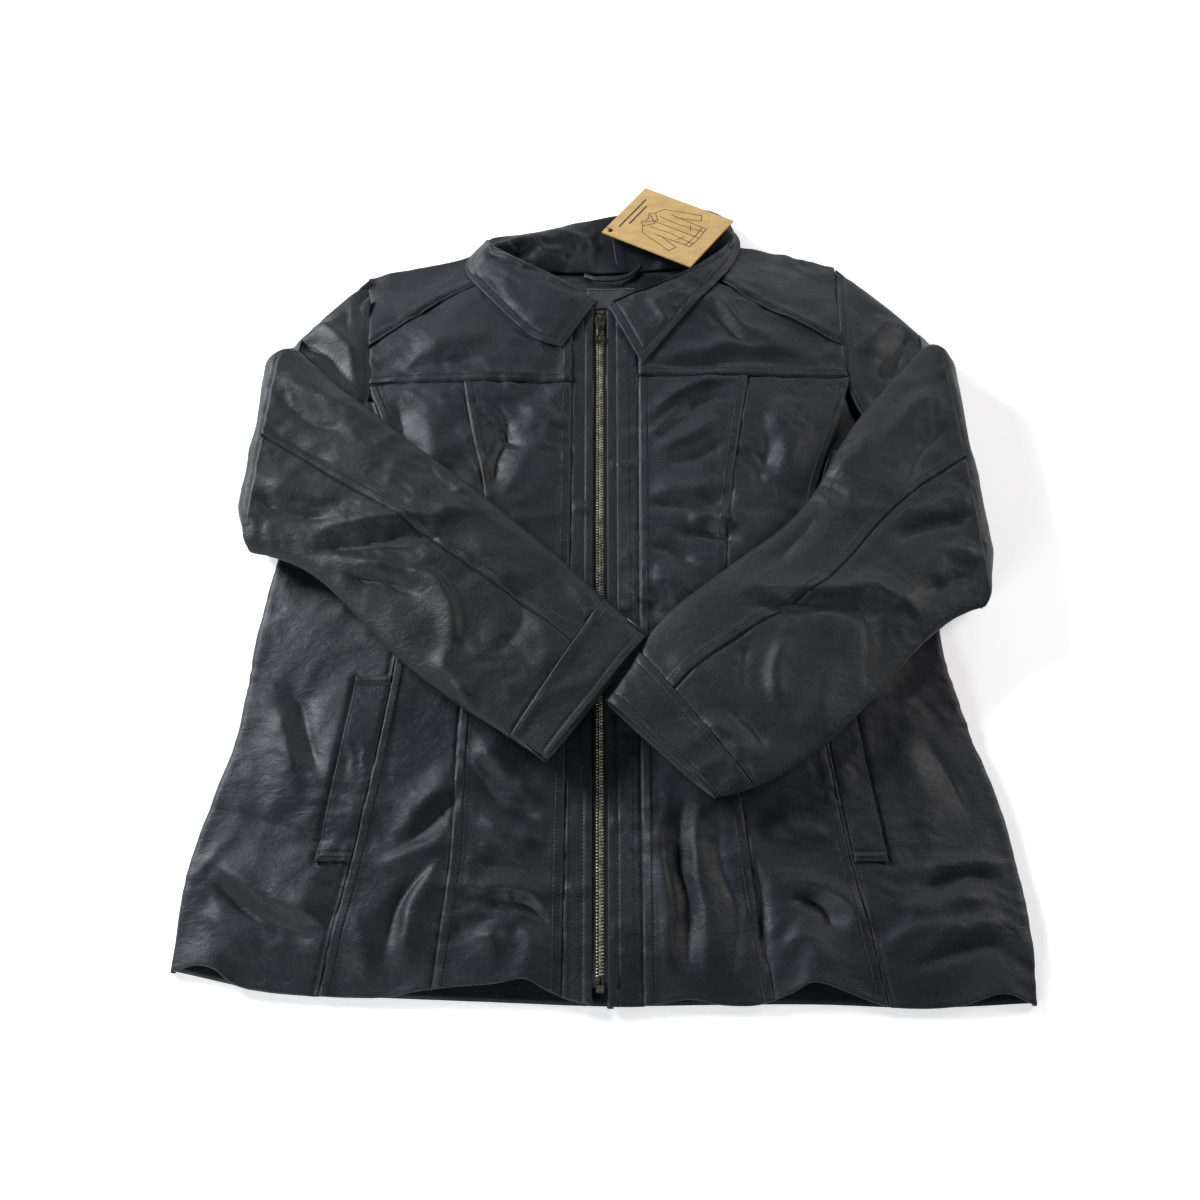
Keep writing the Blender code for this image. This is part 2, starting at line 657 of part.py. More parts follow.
def make_leaf(side, sign):
    """One front leaf of the collar, from its roll line to its outer edge."""
    line = OUTLINES[side]
    start, end = line["roll"]
    outer = smooth_line(line["leaf_edge"], 2)
    away = np.array((-(end - start)[1], (end - start)[0])) * (-sign)
    away = away / np.linalg.norm(away)
    rows = []
    for v in np.linspace(0, 1, 5):
        row = []
        for u, edge in zip(np.linspace(0, 1, len(outer)), outer):
            root = mix(start, end, u) + away * LEAF_START
            x, y = mix(root, edge, v)
            straight = mix(ROLL_Z, front_height(*edge) + LEAF_LIFT, v)
            row.append((x, y, max(straight, front_height(x, y) + LEAF_LIFT)))
        rows.append(row)
    if side == "right":
        rows = rows[::-1]
    leaf = sheet(f"collar_leaf_{side}", rows[::-1], DOUBLE_LEATHER, "leather")
    ends = (start, end) if side == "left" else (end, start)
    hang_on(hinge_frame(f"collar_{side}_hinge", *ends, ROLL_Z), leaf)


def make_neck_fittings():
    """The hanger loop and the blank label inside the back of the neck."""
    loop = mm((-14, 333, 4.5), (0, 329, 7), (14, 331, 8.5), (28, 337, 7), (38, 343, 9))
    wire("hanger_loop", smooth_line(loop, 2), 1.4 * MM, "leather")
    box("neck_label", mm((-12, 300, 2.7))[0], mm((32, 322, 3.2))[0], "label")


# ---------------------------------------------------------------- sleeves

def section(top, low, centre_z, half_height, seam):
    """Points round a flattened sleeve, as two lists that meet at the seams.

    The first list goes round the top edge and the second round the low edge. seam is how
    far across the face the seam lies, from the top edge to the low edge.
    """
    top, low = Vector((*top, 0)), Vector((*low, 0))
    across = (low - top).normalized()
    up = Vector((0, 0, half_height))
    lift = Vector((0, 0, centre_z))
    seam_point = top.lerp(low, seam) + lift
    turns = [math.pi * k / SECTION_ARC_STEPS for k in range(SECTION_ARC_STEPS + 1)]
    near, far = top + across * half_height + lift, low - across * half_height + lift
    first = [near - across * half_height * math.sin(a) + up * math.cos(a) for a in turns]
    second = [far + across * half_height * math.sin(a) - up * math.cos(a) for a in turns]
    gap = across * SEAM_GAP / 2
    first = [seam_point - gap + up, *first, seam_point - gap - up]
    second = [seam_point + gap - up, *second, seam_point + gap + up]
    return first, second


def narrower(top, low, by):
    """A station's two edge points, each moved towards the other."""
    across = (low - top) / np.linalg.norm(low - top) * by
    return top + across, low - across


def tube_loop(top, low, centre_z, half_height, across=()):
    """A whole section as one loop; across lists where points lie on both of its faces."""
    first, second = section(top, low, centre_z, half_height, 0.5)
    first, second = first[1:-1], second[1:-1]
    under = [first[-1].lerp(second[0], t) for t in across]
    over = [second[-1].lerp(first[0], t) for t in across]
    return first + under + second + over


def meet_body(loop, side):
    """The loop with its points moved in X to stand off the body's armhole edge."""
    edge = x_of_y(OUTLINES[side]["body"], SIDES[side] * ARMHOLE_GAP)
    return [Vector((edge(p.y), p.y, p.z)) for p in loop]


def outward_rows(rows, side):
    return rows if side == "left" else rows[::-1]


def make_sleeve(side):
    """The head up to the fold, the folded part's two panels and cuff, and the linings."""
    line = OUTLINES[side]
    sign = SIDES[side]
    inset = Vector((-sign * FOLD_CLEARANCE, 0, 0))
    under = LEATHER + LINING_EASE
    beside = LEATHER + LINING_EDGE_EASE
    stations = list(zip(line["head_top"], line["head_low"]))
    spread = (0.25, 0.5, 0.75)
    head = [tube_loop(*ends, HEAD_CENTRE_Z, HEAD_HALF_HEIGHT, spread) for ends in stations]
    lining = [tube_loop(*narrower(*ends, 3 * beside), HEAD_CENTRE_Z, HEAD_HALF_HEIGHT - under,
                        spread) for ends in stations]
    lining[0] = [p.lerp(q, 0.6) for p, q in zip(lining[0], lining[1])]
    head[0] = meet_body(head[0], side)
    for name, rows, thickness, material in (("sleeve_head", head, LEATHER, "leather"),
                                            ("sleeve_head_lining", lining, CLOTH, "lining")):
        rows = [[p + inset for p in row] for row in rows]
        sheet(f"{name}_{side}", outward_rows(rows, side)[::-1], thickness, material, ring=True)

    stations = [section(top, low, SLEEVE_CENTRE_Z, SLEEVE_HALF_HEIGHT, seam)
                for top, low, seam in zip(line["sleeve_top"], line["sleeve_low"],
                                          line["sleeve_seam"])]
    last_span = np.linalg.norm(line["sleeve_top"][-1] - line["sleeve_top"][-2])
    cuff_start = max(1 - CUFF_BAND / last_span, SHORTEST_WRIST)
    wrist = [[a.lerp(b, cuff_start) for a, b in zip(stations[-2][k], stations[-1][k])]
             for k in (0, 1)]
    body = stations[:-1] + [wrist]
    pieces = []
    for k, name in enumerate(("outer", "inner")):
        rows = [station[k] for station in body]
        pieces.append(sheet(f"sleeve_{name}_{side}", outward_rows(rows, side), LEATHER, "leather"))
    along = (stations[-1][0][0] - wrist[0][0]).normalized() * SEAM_GAP
    cuff = [[p + along for p in wrist[0] + wrist[1]], list(stations[-1][0] + stations[-1][1])]
    pieces.append(sheet(f"cuff_{side}", outward_rows(cuff, side), LEATHER, "leather", ring=True))
    rows = [tube_loop(*narrower(*ends, beside), SLEEVE_CENTRE_Z, SLEEVE_HALF_HEIGHT - under)
            for ends in zip(line["sleeve_top"], line["sleeve_low"])]
    pieces.append(sheet(f"sleeve_lining_{side}", outward_rows(rows, side), CLOTH, "lining",
                        ring=True))
    start, end = line["fold"]
    ends = (start, end) if side == "left" else (end, start)
    hang_on(hinge_frame(f"sleeve_{side}_hinge", *ends, FOLD_Z), *pieces)


# ---------------------------------------------------------------- hang tag

def make_tag():
    """A card folded along its lower long edge, on a string from the neck."""
    corner = Vector(mm((1.5, 379.4, 14))[0])
    along = Vector((0.812, -0.551, 0.192)).normalized()
    side = Vector((0.576, 0.81, -0.11))
    side = (side - along * side.dot(along)).normalized()
    turn = Matrix((along, side, along.cross(side))).transposed().to_4x4()
    plane = empty("tag_plane", Matrix.Translation(corner) @ turn)
    hole_x, hole_y = TAG_HOLE_INSET, TAG_HOLE_INSET
    lift = empty("tag_lift_hinge", Matrix.Translation((hole_x, hole_y, 0)), plane)
    for name, low in (("tag_back_leaf", -CARD - 0.2 * MM), ("tag_front_leaf", 0.2 * MM)):
        leaf = box(name, (0, 0.2 * MM, low), (TAG_LENGTH, TAG_WIDTH, low + CARD), "card")
        leaf.data.transform(Matrix.Translation((-hole_x, -hole_y, 0)))
        punch = cylinder(name + "_punch", (0, 0, -2 * MM), (0, 0, 2 * MM), TAG_HOLE_RADIUS,
                         "card", 16)
        leaf.parent = lift
        combine(leaf, punch, "DIFFERENCE")
    hole = world_matrix(lift).translation
    normal = world_matrix(lift).to_3x3().col[2]
    string = [hole + normal * 3 * MM, hole - normal * 3 * MM,
              hole + Vector(mm((3, -8, -4))[0]), Vector(mm((16, 345, 9.5))[0])]
    wire("tag_string", string, STRING_RADIUS, "string")


# ---------------------------------------------------------------- assembly

for old in list(bpy.data.objects):
    bpy.data.objects.remove(old)
PARTS = new_collection(COLLECTION)
CUTTERS = new_collection("cutters")
GUIDES = new_collection("guides")
MATERIALS = make_materials()

for jacket_side in SIDES:
    make_front(jacket_side)
    make_shoulder(jacket_side)
    make_pocket(jacket_side)
    make_sleeve(jacket_side)
make_back()
make_zip()
make_collar()
make_neck_fittings()
make_tag()
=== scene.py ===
"""Looks of the zip-front leather jacket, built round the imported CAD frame.

Everything is in metres in the CAD's frame: X across, Y from the hem to the collar, Z up.
Outlines and heights are read from the CAD nodes. Folds, seams, stitches and surface detail
are added here. "left" is the -X side.
"""
import json
import math

import bpy
import numpy as np
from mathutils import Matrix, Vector
from mathutils.bvhtree import BVHTree


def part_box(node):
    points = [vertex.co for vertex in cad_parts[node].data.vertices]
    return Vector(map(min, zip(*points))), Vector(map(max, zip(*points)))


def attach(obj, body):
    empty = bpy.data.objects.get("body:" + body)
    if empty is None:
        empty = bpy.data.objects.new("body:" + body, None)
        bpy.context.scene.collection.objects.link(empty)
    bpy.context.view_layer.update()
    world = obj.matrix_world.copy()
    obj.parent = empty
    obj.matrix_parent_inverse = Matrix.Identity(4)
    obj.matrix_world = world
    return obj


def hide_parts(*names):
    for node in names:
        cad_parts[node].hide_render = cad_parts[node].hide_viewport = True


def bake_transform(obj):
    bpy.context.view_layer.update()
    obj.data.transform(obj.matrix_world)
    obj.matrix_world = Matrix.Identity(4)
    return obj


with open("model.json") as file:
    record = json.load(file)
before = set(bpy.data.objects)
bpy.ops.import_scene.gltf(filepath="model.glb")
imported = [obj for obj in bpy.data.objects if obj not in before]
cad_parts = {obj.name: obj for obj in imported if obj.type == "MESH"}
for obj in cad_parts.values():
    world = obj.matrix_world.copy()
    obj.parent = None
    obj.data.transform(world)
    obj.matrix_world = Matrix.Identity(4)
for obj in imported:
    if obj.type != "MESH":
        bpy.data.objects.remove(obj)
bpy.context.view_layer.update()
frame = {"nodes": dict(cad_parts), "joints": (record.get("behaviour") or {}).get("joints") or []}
NODES = frame["nodes"]
MM = 0.001
SIDES = {"left": -1, "right": 1}

STEP = 2.6 * MM          # spacing of the grid on the leather
CLOTH_STEP = 7 * MM
HEIGHT_CELL, HEIGHT_BLUR = 6 * MM, 3              # the height map's spacing and smoothing
LEATHER = 1.1 * MM
SEAM_GAP = 0.5 * MM
CURVED_GAP = 3.0 * MM
LAP_WIDTH = 8.5 * MM
LAP_RISE = 0.85 * MM
LAP_STITCH = LAP_WIDTH - 0.9 * MM                 # from a lapped seam's edge to its stitches
STITCH_PITCH = 3.1 * MM
STITCH_RADIUS = 0.42 * MM
STITCH_LIFT = 0.12 * MM
HEM_FOLD = 22 * MM
TURN_STITCH = 6.4 * MM
PLACKET_ROW = 18 * MM
ARC_STEPS, TUCK_STEPS = 6, 2                      # rows round a turned edge and behind it
SPIKE = 2.6                                       # radians; an outline turns less than this
EDGE_STATIONS = np.array((0, 0.5, 1.1, 1.8, 2.6, 4.2, 6.0, 6.9, 7.7, 8.5, 9.5, 11.5)) * MM


# ---------------------------------------------------------------- numbers and curves


def mm(*points):
    """Points given in millimetres, as an array in metres."""
    return np.array(points, float) * MM


def smooth(t):
    """A smooth step from 0 to 1."""
    t = np.clip(t, 0, 1)
    return t * t * (3 - 2 * t)


def mix(a, b, t):
    """The value at a share t of the way from a to b."""
    return a + (b - a) * t


def unit(vectors):
    """Vectors of length 1 in the same directions."""
    return vectors / np.maximum(np.linalg.norm(vectors, axis=-1, keepdims=True), 1e-12)


def curve_through(points, steps=6):
    """A Catmull-Rom curve through the points."""
    points = np.asarray(points, float)
    if len(points) < 3:
        return points
    ends = np.vstack([2 * points[0] - points[1], points, 2 * points[-1] - points[-2]])
    curve = []
    for a, b, c, d in zip(ends, ends[1:], ends[2:], ends[3:]):
        for t in np.arange(steps) / steps:
            curve.append(0.5 * (2 * b + (c - a) * t + (2 * a - 5 * b + 4 * c - d) * t ** 2
                                + (3 * b - a - 3 * c + d) * t ** 3))
    curve.append(points[-1])
    return np.array(curve)


def spaced(points, shares, steps=6):
    """Points on the smooth curve through the given ones, at shares of its length.

    A whole number in place of shares stands for that many equal parts.
    """
    if isinstance(shares, int):
        shares = np.linspace(0, 1, shares + 1)
    curve = curve_through(points, steps)
    length = np.concatenate([[0], np.cumsum(np.linalg.norm(np.diff(curve, axis=0), axis=1))])
    return np.column_stack([np.interp(shares * length[-1], length, curve[:, k])
                            for k in range(curve.shape[1])])


def line_length(points):
    """The length of a line through points."""
    return float(np.linalg.norm(np.diff(points, axis=0), axis=1).sum())


GRADIENTS = np.random.default_rng(11).uniform(-1, 1, (256, 256, 2))


def noise(x, y, size, seed=0):
    """Smooth noise, about -1 to 1, whose lumps are about as large as size."""
    x, y = x / size + 37.3 * seed, y / size + 11.9 * seed
    i, j = np.floor(x).astype(int), np.floor(y).astype(int)
    u, v = x - i, y - j

    def corner(a, b):
        """The slope at one corner of each cell, carried to the point."""
        slope = GRADIENTS[(i + a) % 256, (j + b) % 256]
        return slope[..., 0] * (u - a) + slope[..., 1] * (v - b)

    low = mix(corner(0, 0), corner(1, 0), smooth(u))
    high = mix(corner(0, 1), corner(1, 1), smooth(u))
    return 1.6 * mix(low, high, smooth(v))


def to_line(points, x, y):
    """Distance to a line, the side of it (+1 is its left) and the share of its length."""
    lengths = np.linalg.norm(np.diff(points, axis=0), axis=1)
    start = np.concatenate([[0], np.cumsum(lengths)])
    nearest = np.full(x.shape, 1e9)
    side = np.ones(x.shape)
    share = np.zeros(x.shape)
    for k, (a, b) in enumerate(zip(points, points[1:])):
        d = (b - a)[:2]
        t = np.clip(((x - a[0]) * d[0] + (y - a[1]) * d[1]) / max(d @ d, 1e-12), 0, 1)
        gap = np.hypot(x - a[0] - t * d[0], y - a[1] - t * d[1])
        closer = gap < nearest
        nearest = np.where(closer, gap, nearest)
        side = np.where(closer, np.sign(d[0] * (y - a[1]) - d[1] * (x - a[0]) + 1e-15), side)
        share = np.where(closer, (start[k] + t * lengths[k]) / start[-1], share)
    return nearest, side, share


# ---------------------------------------------------------------- reading the CAD


def rim(node, facing=0.6):
    """The outline, counter-clockwise, of the highest patch of a node that looks up."""
    mesh = NODES[node].data
    places = np.array([v.co for v in mesh.vertices])
    corners, index = np.unique(np.round(places, 6), axis=0, return_inverse=True)
    index = index.ravel()
    edges = set()
    for face in mesh.polygons:
        if face.normal.z > facing:
            ring = [int(index[v]) for v in face.vertices]
            edges.update(zip(ring, ring[1:] + ring[:1]))
    follows = {}
    for a, b in sorted(edges):
        if (b, a) not in edges:
            follows.setdefault(a, []).append(b)
    loops = []
    while any(follows.values()):
        path = [next(a for a, ends in follows.items() if ends)]
        while follows.get(path[-1]):
            place = follows[path[-1]].pop()
            if place in path:
                loops.append(corners[path[path.index(place):]])
                path = path[:path.index(place)]
            path.append(place)

    def area_by_height(loop):
        """A loop's area times its mean height."""
        x, y, z = loop.T
        return abs(x @ np.roll(y, 1) - y @ np.roll(x, 1)) * z.mean()

    return max(loops, key=area_by_height)


def turning(loop):
    """The angle through which a closed line turns at each of its points."""
    flat = loop[:, :2]
    before, after = flat - np.roll(flat, 1, 0), np.roll(flat, -1, 0) - flat
    return np.arctan2(before[:, 0] * after[:, 1] - before[:, 1] * after[:, 0],
                      (before * after).sum(1))


def sides_of(node):
    """A node's four sides as curves: left and right run down, top and bottom run right."""
    loop = rim(node)
    loop = loop[np.abs(turning(loop)) < SPIKE]
    corners = sorted(np.argsort(turning(loop))[-4:])
    pieces = []
    for a, b in zip(corners, corners[1:] + [corners[0] + len(loop)]):
        pieces.append(loop[np.arange(a, b + 1) % len(loop)])
    k = int(np.argmin([spaced(p, 10, 1)[:, 0].mean() for p in pieces]))
    left, bottom, right, top = (pieces[(k + n) % 4] for n in range(4))
    return {"left": left, "bottom": bottom, "right": right[::-1], "top": top[::-1]}


def shares_for(length, step, fine_start=False, fine_end=False):
    """Places along a length, evenly spaced but closer together at ends with seam detail."""
    start = EDGE_STATIONS if fine_start else EDGE_STATIONS[:1]
    end = EDGE_STATIONS if fine_end else EDGE_STATIONS[:1]
    if start[-1] + end[-1] > 0.95 * length:
        squeeze = 0.95 * length / (start[-1] + end[-1])
        start, end = start * squeeze, end * squeeze
    inner = np.linspace(start[-1], length - end[-1],
                        max(2, round((length - start[-1] - end[-1]) / step) + 1))
    return np.concatenate([start[:-1], inner, length - end[-2::-1]]) / length


def ruled(sides, across, down):
    """Points in the patch inside four sides, rows from the top down, at shares of them."""
    top, bottom = spaced(sides["top"], across), spaced(sides["bottom"], across)
    left, right = spaced(sides["left"], down), spaced(sides["right"], down)
    u, v = across[None, :, None], down[:, None, None]
    both = mix(top[None], bottom[None], v) + mix(left[:, None], right[:, None], u)
    return both - mix(mix(top[0], top[-1], u), mix(bottom[0], bottom[-1], u), v)


def extent(sides):
    """The length of a patch's longer sides, across and down."""
    return (max(line_length(sides["top"]), line_length(sides["bottom"])),
            max(line_length(sides["left"]), line_length(sides["right"])))


def ruled_evenly(sides, step):
    """A patch's points about one step apart."""
    return ruled(sides, *(np.linspace(0, 1, max(3, round(length / step)))
                          for length in extent(sides)))


def fill(sides, step, fine=()):
    """A patch's points, close together beside the sides named in fine."""
    wide, tall = extent(sides)
    return ruled(sides, shares_for(wide, step, "left" in fine, "right" in fine),
                 shares_for(tall, step, "top" in fine, "bottom" in fine))


def grow(grid, amounts):
    """Move the grid's edges outwards; amounts maps a side's name to a distance."""
    grid = grid.copy()
    for side, by in amounts.items():
        view = edge_first(grid, side)
        count = min(4, len(view) - 1)
        way = unit(view[0] - view[1])
        for k in range(count):
            view[k] += way * by * (1 - k / count)
    return grid


def edge_first(grid, side):
    """A view of the grid whose first row is the named side."""
    return {"top": grid, "bottom": grid[::-1], "left": grid.swapaxes(0, 1),
            "right": grid[:, ::-1].swapaxes(0, 1)}[side]


class HeightMap:
    """Heights of the CAD's upper faces on a square lattice, smoothed, and read anywhere."""

    def __init__(self, nodes, low, high):
        """Read the nodes between two corners."""
        self.low = np.array(low)
        counts = np.ceil((np.array(high) - low) / HEIGHT_CELL).astype(int) + 4
        vertices, faces = [], []
        for node in nodes:
            mesh = NODES[node].data
            base = len(vertices)
            vertices += [v.co.copy() for v in mesh.vertices]
            faces += [[base + v for v in p.vertices] for p in mesh.polygons]
        tree = BVHTree.FromPolygons(vertices, faces)
        values = np.full(counts, np.nan)
        for i in range(counts[0]):
            for j in range(counts[1]):
                x, y = self.low + (np.array((i, j)) - 1) * HEIGHT_CELL
                hit, normal, _, _ = tree.ray_cast(Vector((x, y, 1)), Vector((0, 0, -1)))
                if hit and normal.z > 0.5:
                    values[i, j] = hit.z
        self.values = self.filled(values)
        for _ in range(HEIGHT_BLUR):
            self.values = self.neighbours(self.values).mean(0)

    @staticmethod
    def neighbours(values):
        """Each value with its eight neighbours, as nine layers."""
        wide = np.pad(values, 1, mode="edge")
        rows, columns = values.shape
        return np.array([wide[i:i + rows, j:j + columns] for i in range(3) for j in range(3)])

    def filled(self, values):
        """Spread the known heights outwards until none is missing."""
        while np.isnan(values).any():
            near = self.neighbours(values)
            known = ~np.isnan(near)
            total = np.where(known, near, 0).sum(0)
            spread = total / np.maximum(known.sum(0), 1)
            spread[~known.any(0)] = np.nan
            values = np.where(np.isnan(values), spread, values)
        return values

    def __call__(self, x, y):
        """A smooth spline through the lattice."""
        places = [(np.asarray(c) - o) / HEIGHT_CELL + 1 for c, o in zip((x, y), self.low)]
        places = [np.clip(p, 1, n - 2.001) for p, n in zip(places, self.values.shape)]
        starts = [np.floor(p).astype(int) for p in places]
        weights = []
        for p, s in zip(places, starts):
            t = p - s
            weights.append(((1 - t) ** 3 / 6, (3 * t ** 3 - 6 * t ** 2 + 4) / 6,
                            (-3 * t ** 3 + 3 * t ** 2 + 3 * t + 1) / 6, t ** 3 / 6))
        total = 0
        for a in range(4):
            for b in range(4):
                total = total + weights[0][a] * weights[1][b] * self.values[
                    np.clip(starts[0] + a - 1, 0, self.values.shape[0] - 1),
                    np.clip(starts[1] + b - 1, 0, self.values.shape[1] - 1)]
        return total


# ---------------------------------------------------------------- materials


def node_material(name):
    """A new node material, its tree and its shader."""
    material = bpy.data.materials.new(name)
    material.use_nodes = True
    tree = material.node_tree
    return material, tree, tree.nodes["Principled BSDF"]


def add(tree, kind, inputs=(), **settings):
    """A shader node with its settings and inputs; an input is a value or a socket."""
    node = tree.nodes.new(kind)
    for key, value in settings.items():
        setattr(node, key, value)
    for key, value in dict(inputs).items():
        if isinstance(value, bpy.types.NodeSocket):
            tree.links.new(value, node.inputs[key])
        else:
            node.inputs[key].default_value = value
    return node


def place_socket(tree, stretch=(1, 1, 1)):
    """The object's own coordinates, stretched."""
    where = add(tree, "ShaderNodeTexCoord")
    return add(tree, "ShaderNodeMapping", {"Vector": where.outputs["Object"],
                                           "Scale": stretch}).outputs[0]


def add_bump(tree, shader, height, strength, distance, below=None):
    """Bump from a height socket, on top of another bump if one is given."""
    inputs = {"Height": height, "Strength": strength, "Distance": distance}
    if below:
        inputs["Normal"] = below
    bump = add(tree, "ShaderNodeBump", inputs).outputs[0]
    tree.links.new(bump, shader.inputs["Normal"])
    return bump


def multiply(tree, first, second):
    """The product of two colour sockets."""
    return add(tree, "ShaderNodeMixRGB", {"Fac": 1.0, "Color1": first, "Color2": second},
               blend_type="MULTIPLY").outputs[0]


def texture(tree, kind, where, scale, **inputs):
    """A procedural texture's node at a scale."""
    return add(tree, "ShaderNodeTex" + kind, {"Vector": where, "Scale": scale, **inputs})


def noise_socket(tree, where, scale, detail, **inputs):
    """The value of a noise texture."""
    return texture(tree, "Noise", where, scale, Detail=detail, **inputs).outputs["Fac"]


def ramp(tree, factor, low, high, dark, light):
    """A two-stop blend of colours or greys between two values of a factor."""
    node = add(tree, "ShaderNodeValToRGB", {"Fac": factor})
    stops = node.color_ramp.elements
    stops[0].position, stops[1].position = low, high
    stops[0].color = (*dark, 1) if isinstance(dark, tuple) else (dark,) * 3 + (1,)
    stops[1].color = (*light, 1) if isinstance(light, tuple) else (light,) * 3 + (1,)
    return node.outputs["Color"]


def leather_material(name, dark, light):
    """Dyed leather: pebbled grain, fine creases, uneven gloss, and convex ridges painted paler,
    partly as rubbed wear and partly as a painted highlight.
    """
    material, tree, shader = node_material(name)
    where = place_socket(tree)
    colour = ramp(tree, noise_socket(tree, where, 9.0, 4.0), 0.35, 0.70, dark, light)
    speck = ramp(tree, noise_socket(tree, where, 420.0, 3.0), 0.40, 0.75, 0.85, 1.25)
    ridge = add(tree, "ShaderNodeNewGeometry")
    # Convex ridges, found by pointiness, are painted paler: partly rubbed wear, partly a painted
    # highlight along the fold ridges.
    wear_and_highlight = ramp(tree, ridge.outputs["Pointiness"], 0.52, 0.62, 0.0, 0.35)
    wear_and_highlight_colour = tuple(2.6 * c + 0.006 for c in light)
    final = add(tree, "ShaderNodeMixRGB",
                {"Fac": wear_and_highlight, "Color1": multiply(tree, colour, speck),
                 "Color2": (*wear_and_highlight_colour, 1)})
    tree.links.new(final.outputs[0], shader.inputs["Base Color"])
    tree.links.new(ramp(tree, noise_socket(tree, where, 30.0, 5.0), 0.3, 0.7, 0.46, 0.60),
                   shader.inputs["Roughness"])
    cells = texture(tree, "Voronoi", where, 780.0)
    cells.feature = "DISTANCE_TO_EDGE"
    pebbles = ramp(tree, cells.outputs["Distance"], 0.0, 0.35, 0.0, 1.0)
    grain = add_bump(tree, shader, pebbles, 0.35, 0.12 * MM)
    creases = noise_socket(tree, place_socket(tree, (1, 1.7, 1)), 95.0, 8.0, Roughness=0.62,
                           Distortion=0.8)
    add_bump(tree, shader, creases, 0.8, 0.9 * MM, grain)
    shader.inputs["Specular IOR Level"].default_value = 0.42
    return material


def woven_material(name, colour, pitch, rough=0.8, sheen=0.3):
    """Plain weave: two sets of threads crossing at the pitch given in metres."""
    material, tree, shader = node_material(name)
    where = place_socket(tree)
    waves = []
    for direction in ("X", "Y"):
        wave = texture(tree, "Wave", where, 0.314 / pitch, Distortion=0.6, Detail=1.0)
        wave.bands_direction = direction
        waves.append(wave.outputs["Fac"])
    weave = add(tree, "ShaderNodeMath", enumerate(waves), operation="MULTIPLY").outputs[0]
    tint = ramp(tree, noise_socket(tree, where, 25.0, 4.0), 0.3, 0.7,
                tuple(0.7 * c for c in colour), tuple(1.3 * c for c in colour))
    shade = ramp(tree, weave, 0.0, 0.8, 0.55, 1.1)
    tree.links.new(multiply(tree, tint, shade), shader.inputs["Base Color"])
    add_bump(tree, shader, weave, 0.6, 0.15 * MM)
    shader.inputs["Roughness"].default_value = rough
    shader.inputs["Sheen Weight"].default_value = sheen
    return material


def metal_material(name, dark, light, rough):
    """Plated metal with a tarnished tint and fine scratches."""
    material, tree, shader = node_material(name)
    where = place_socket(tree)
    tree.links.new(ramp(tree, noise_socket(tree, where, 160.0, 5.0), 0.35, 0.68, dark, light),
                   shader.inputs["Base Color"])
    scratch = noise_socket(tree, place_socket(tree, (1, 9, 1)), 900.0, 3.0)
    tree.links.new(ramp(tree, scratch, 0.3, 0.7, rough - 0.08, rough + 0.12),
                   shader.inputs["Roughness"])
    add_bump(tree, shader, scratch, 0.25, 0.05 * MM)
    shader.inputs["Metallic"].default_value = 1.0
    return material


BODY_LEATHER = leather_material("body_leather", (0.0064, 0.0086, 0.0124),
                                (0.0126, 0.0153, 0.0194))
SLEEVE_LEATHER = leather_material("sleeve_leather", (0.0070, 0.0096, 0.0122),
                                  (0.0138, 0.0170, 0.0198))
LINING = woven_material("lining_cloth", (0.0050, 0.0054, 0.0068), 0.5 * MM, 0.42, 0.05)
TAPE = woven_material("zip_tape_weave", (0.007, 0.007, 0.008), 0.8 * MM, 0.85, 0.1)
THREAD = woven_material("thread", (0.006, 0.006, 0.007), 0.4 * MM, 0.75, 0.05)
LABEL = woven_material("label_weave", (0.016, 0.016, 0.018), 0.7 * MM, 0.55)
STRING = woven_material("string_twist", (0.10, 0.045, 0.02), 0.5 * MM, 0.8)
BRASS = metal_material("antique_brass", (0.18, 0.165, 0.13), (0.60, 0.57, 0.48), 0.32)
BRONZE = metal_material("dark_bronze", (0.07, 0.06, 0.045), (0.42, 0.39, 0.31), 0.24)


def card_material(name, colour):
    """Kraft card: mottled brown with darker and paler fibres."""
    material, tree, shader = node_material(name)
    where = place_socket(tree, (1, 2.2, 1))
    base = ramp(tree, noise_socket(tree, where, 60.0, 5.0), 0.35, 0.68,
                tuple(0.88 * c for c in colour), tuple(1.08 * c for c in colour))
    fibre = noise_socket(tree, where, 900.0, 4.0, Distortion=1.5)
    tint = ramp(tree, fibre, 0.35, 0.62, 0.78, 1.06)
    tree.links.new(multiply(tree, base, tint), shader.inputs["Base Color"])
    add_bump(tree, shader, fibre, 0.35, 0.06 * MM)
    shader.inputs["Roughness"].default_value = 0.8
    return material


CARD = card_material("kraft_card", (0.60, 0.38, 0.15))
INK = card_material("brown_print", (0.055, 0.035, 0.022))


# ---------------------------------------------------------------- building meshes


def new_piece(name, vertices, faces, material, body, replaced=()):
    """A smooth-shaded mesh piece that rides on a body and stands for CAD nodes."""
    mesh = bpy.data.meshes.new(name)
    mesh.from_pydata([tuple(v) for v in vertices], [], faces)
    mesh.polygons.foreach_set("use_smooth", [True] * len(faces))
    mesh.materials.append(material)
    piece = bpy.data.objects.new(name, mesh)
    bpy.context.scene.collection.objects.link(piece)
    if body:
        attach(piece, body)
    if replaced:
        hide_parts(*replaced)
    return piece


def grid_faces(rows, columns, ring=False):
    """The faces of a grid of points; a ring's last column joins its first."""
    spans = columns if ring else columns - 1
    faces = []
    for r in range(rows - 1):
        for c in range(spans):
            a, b = r * columns + c, r * columns + (c + 1) % columns
            faces.append((a, a + columns, b + columns, b))
    return faces


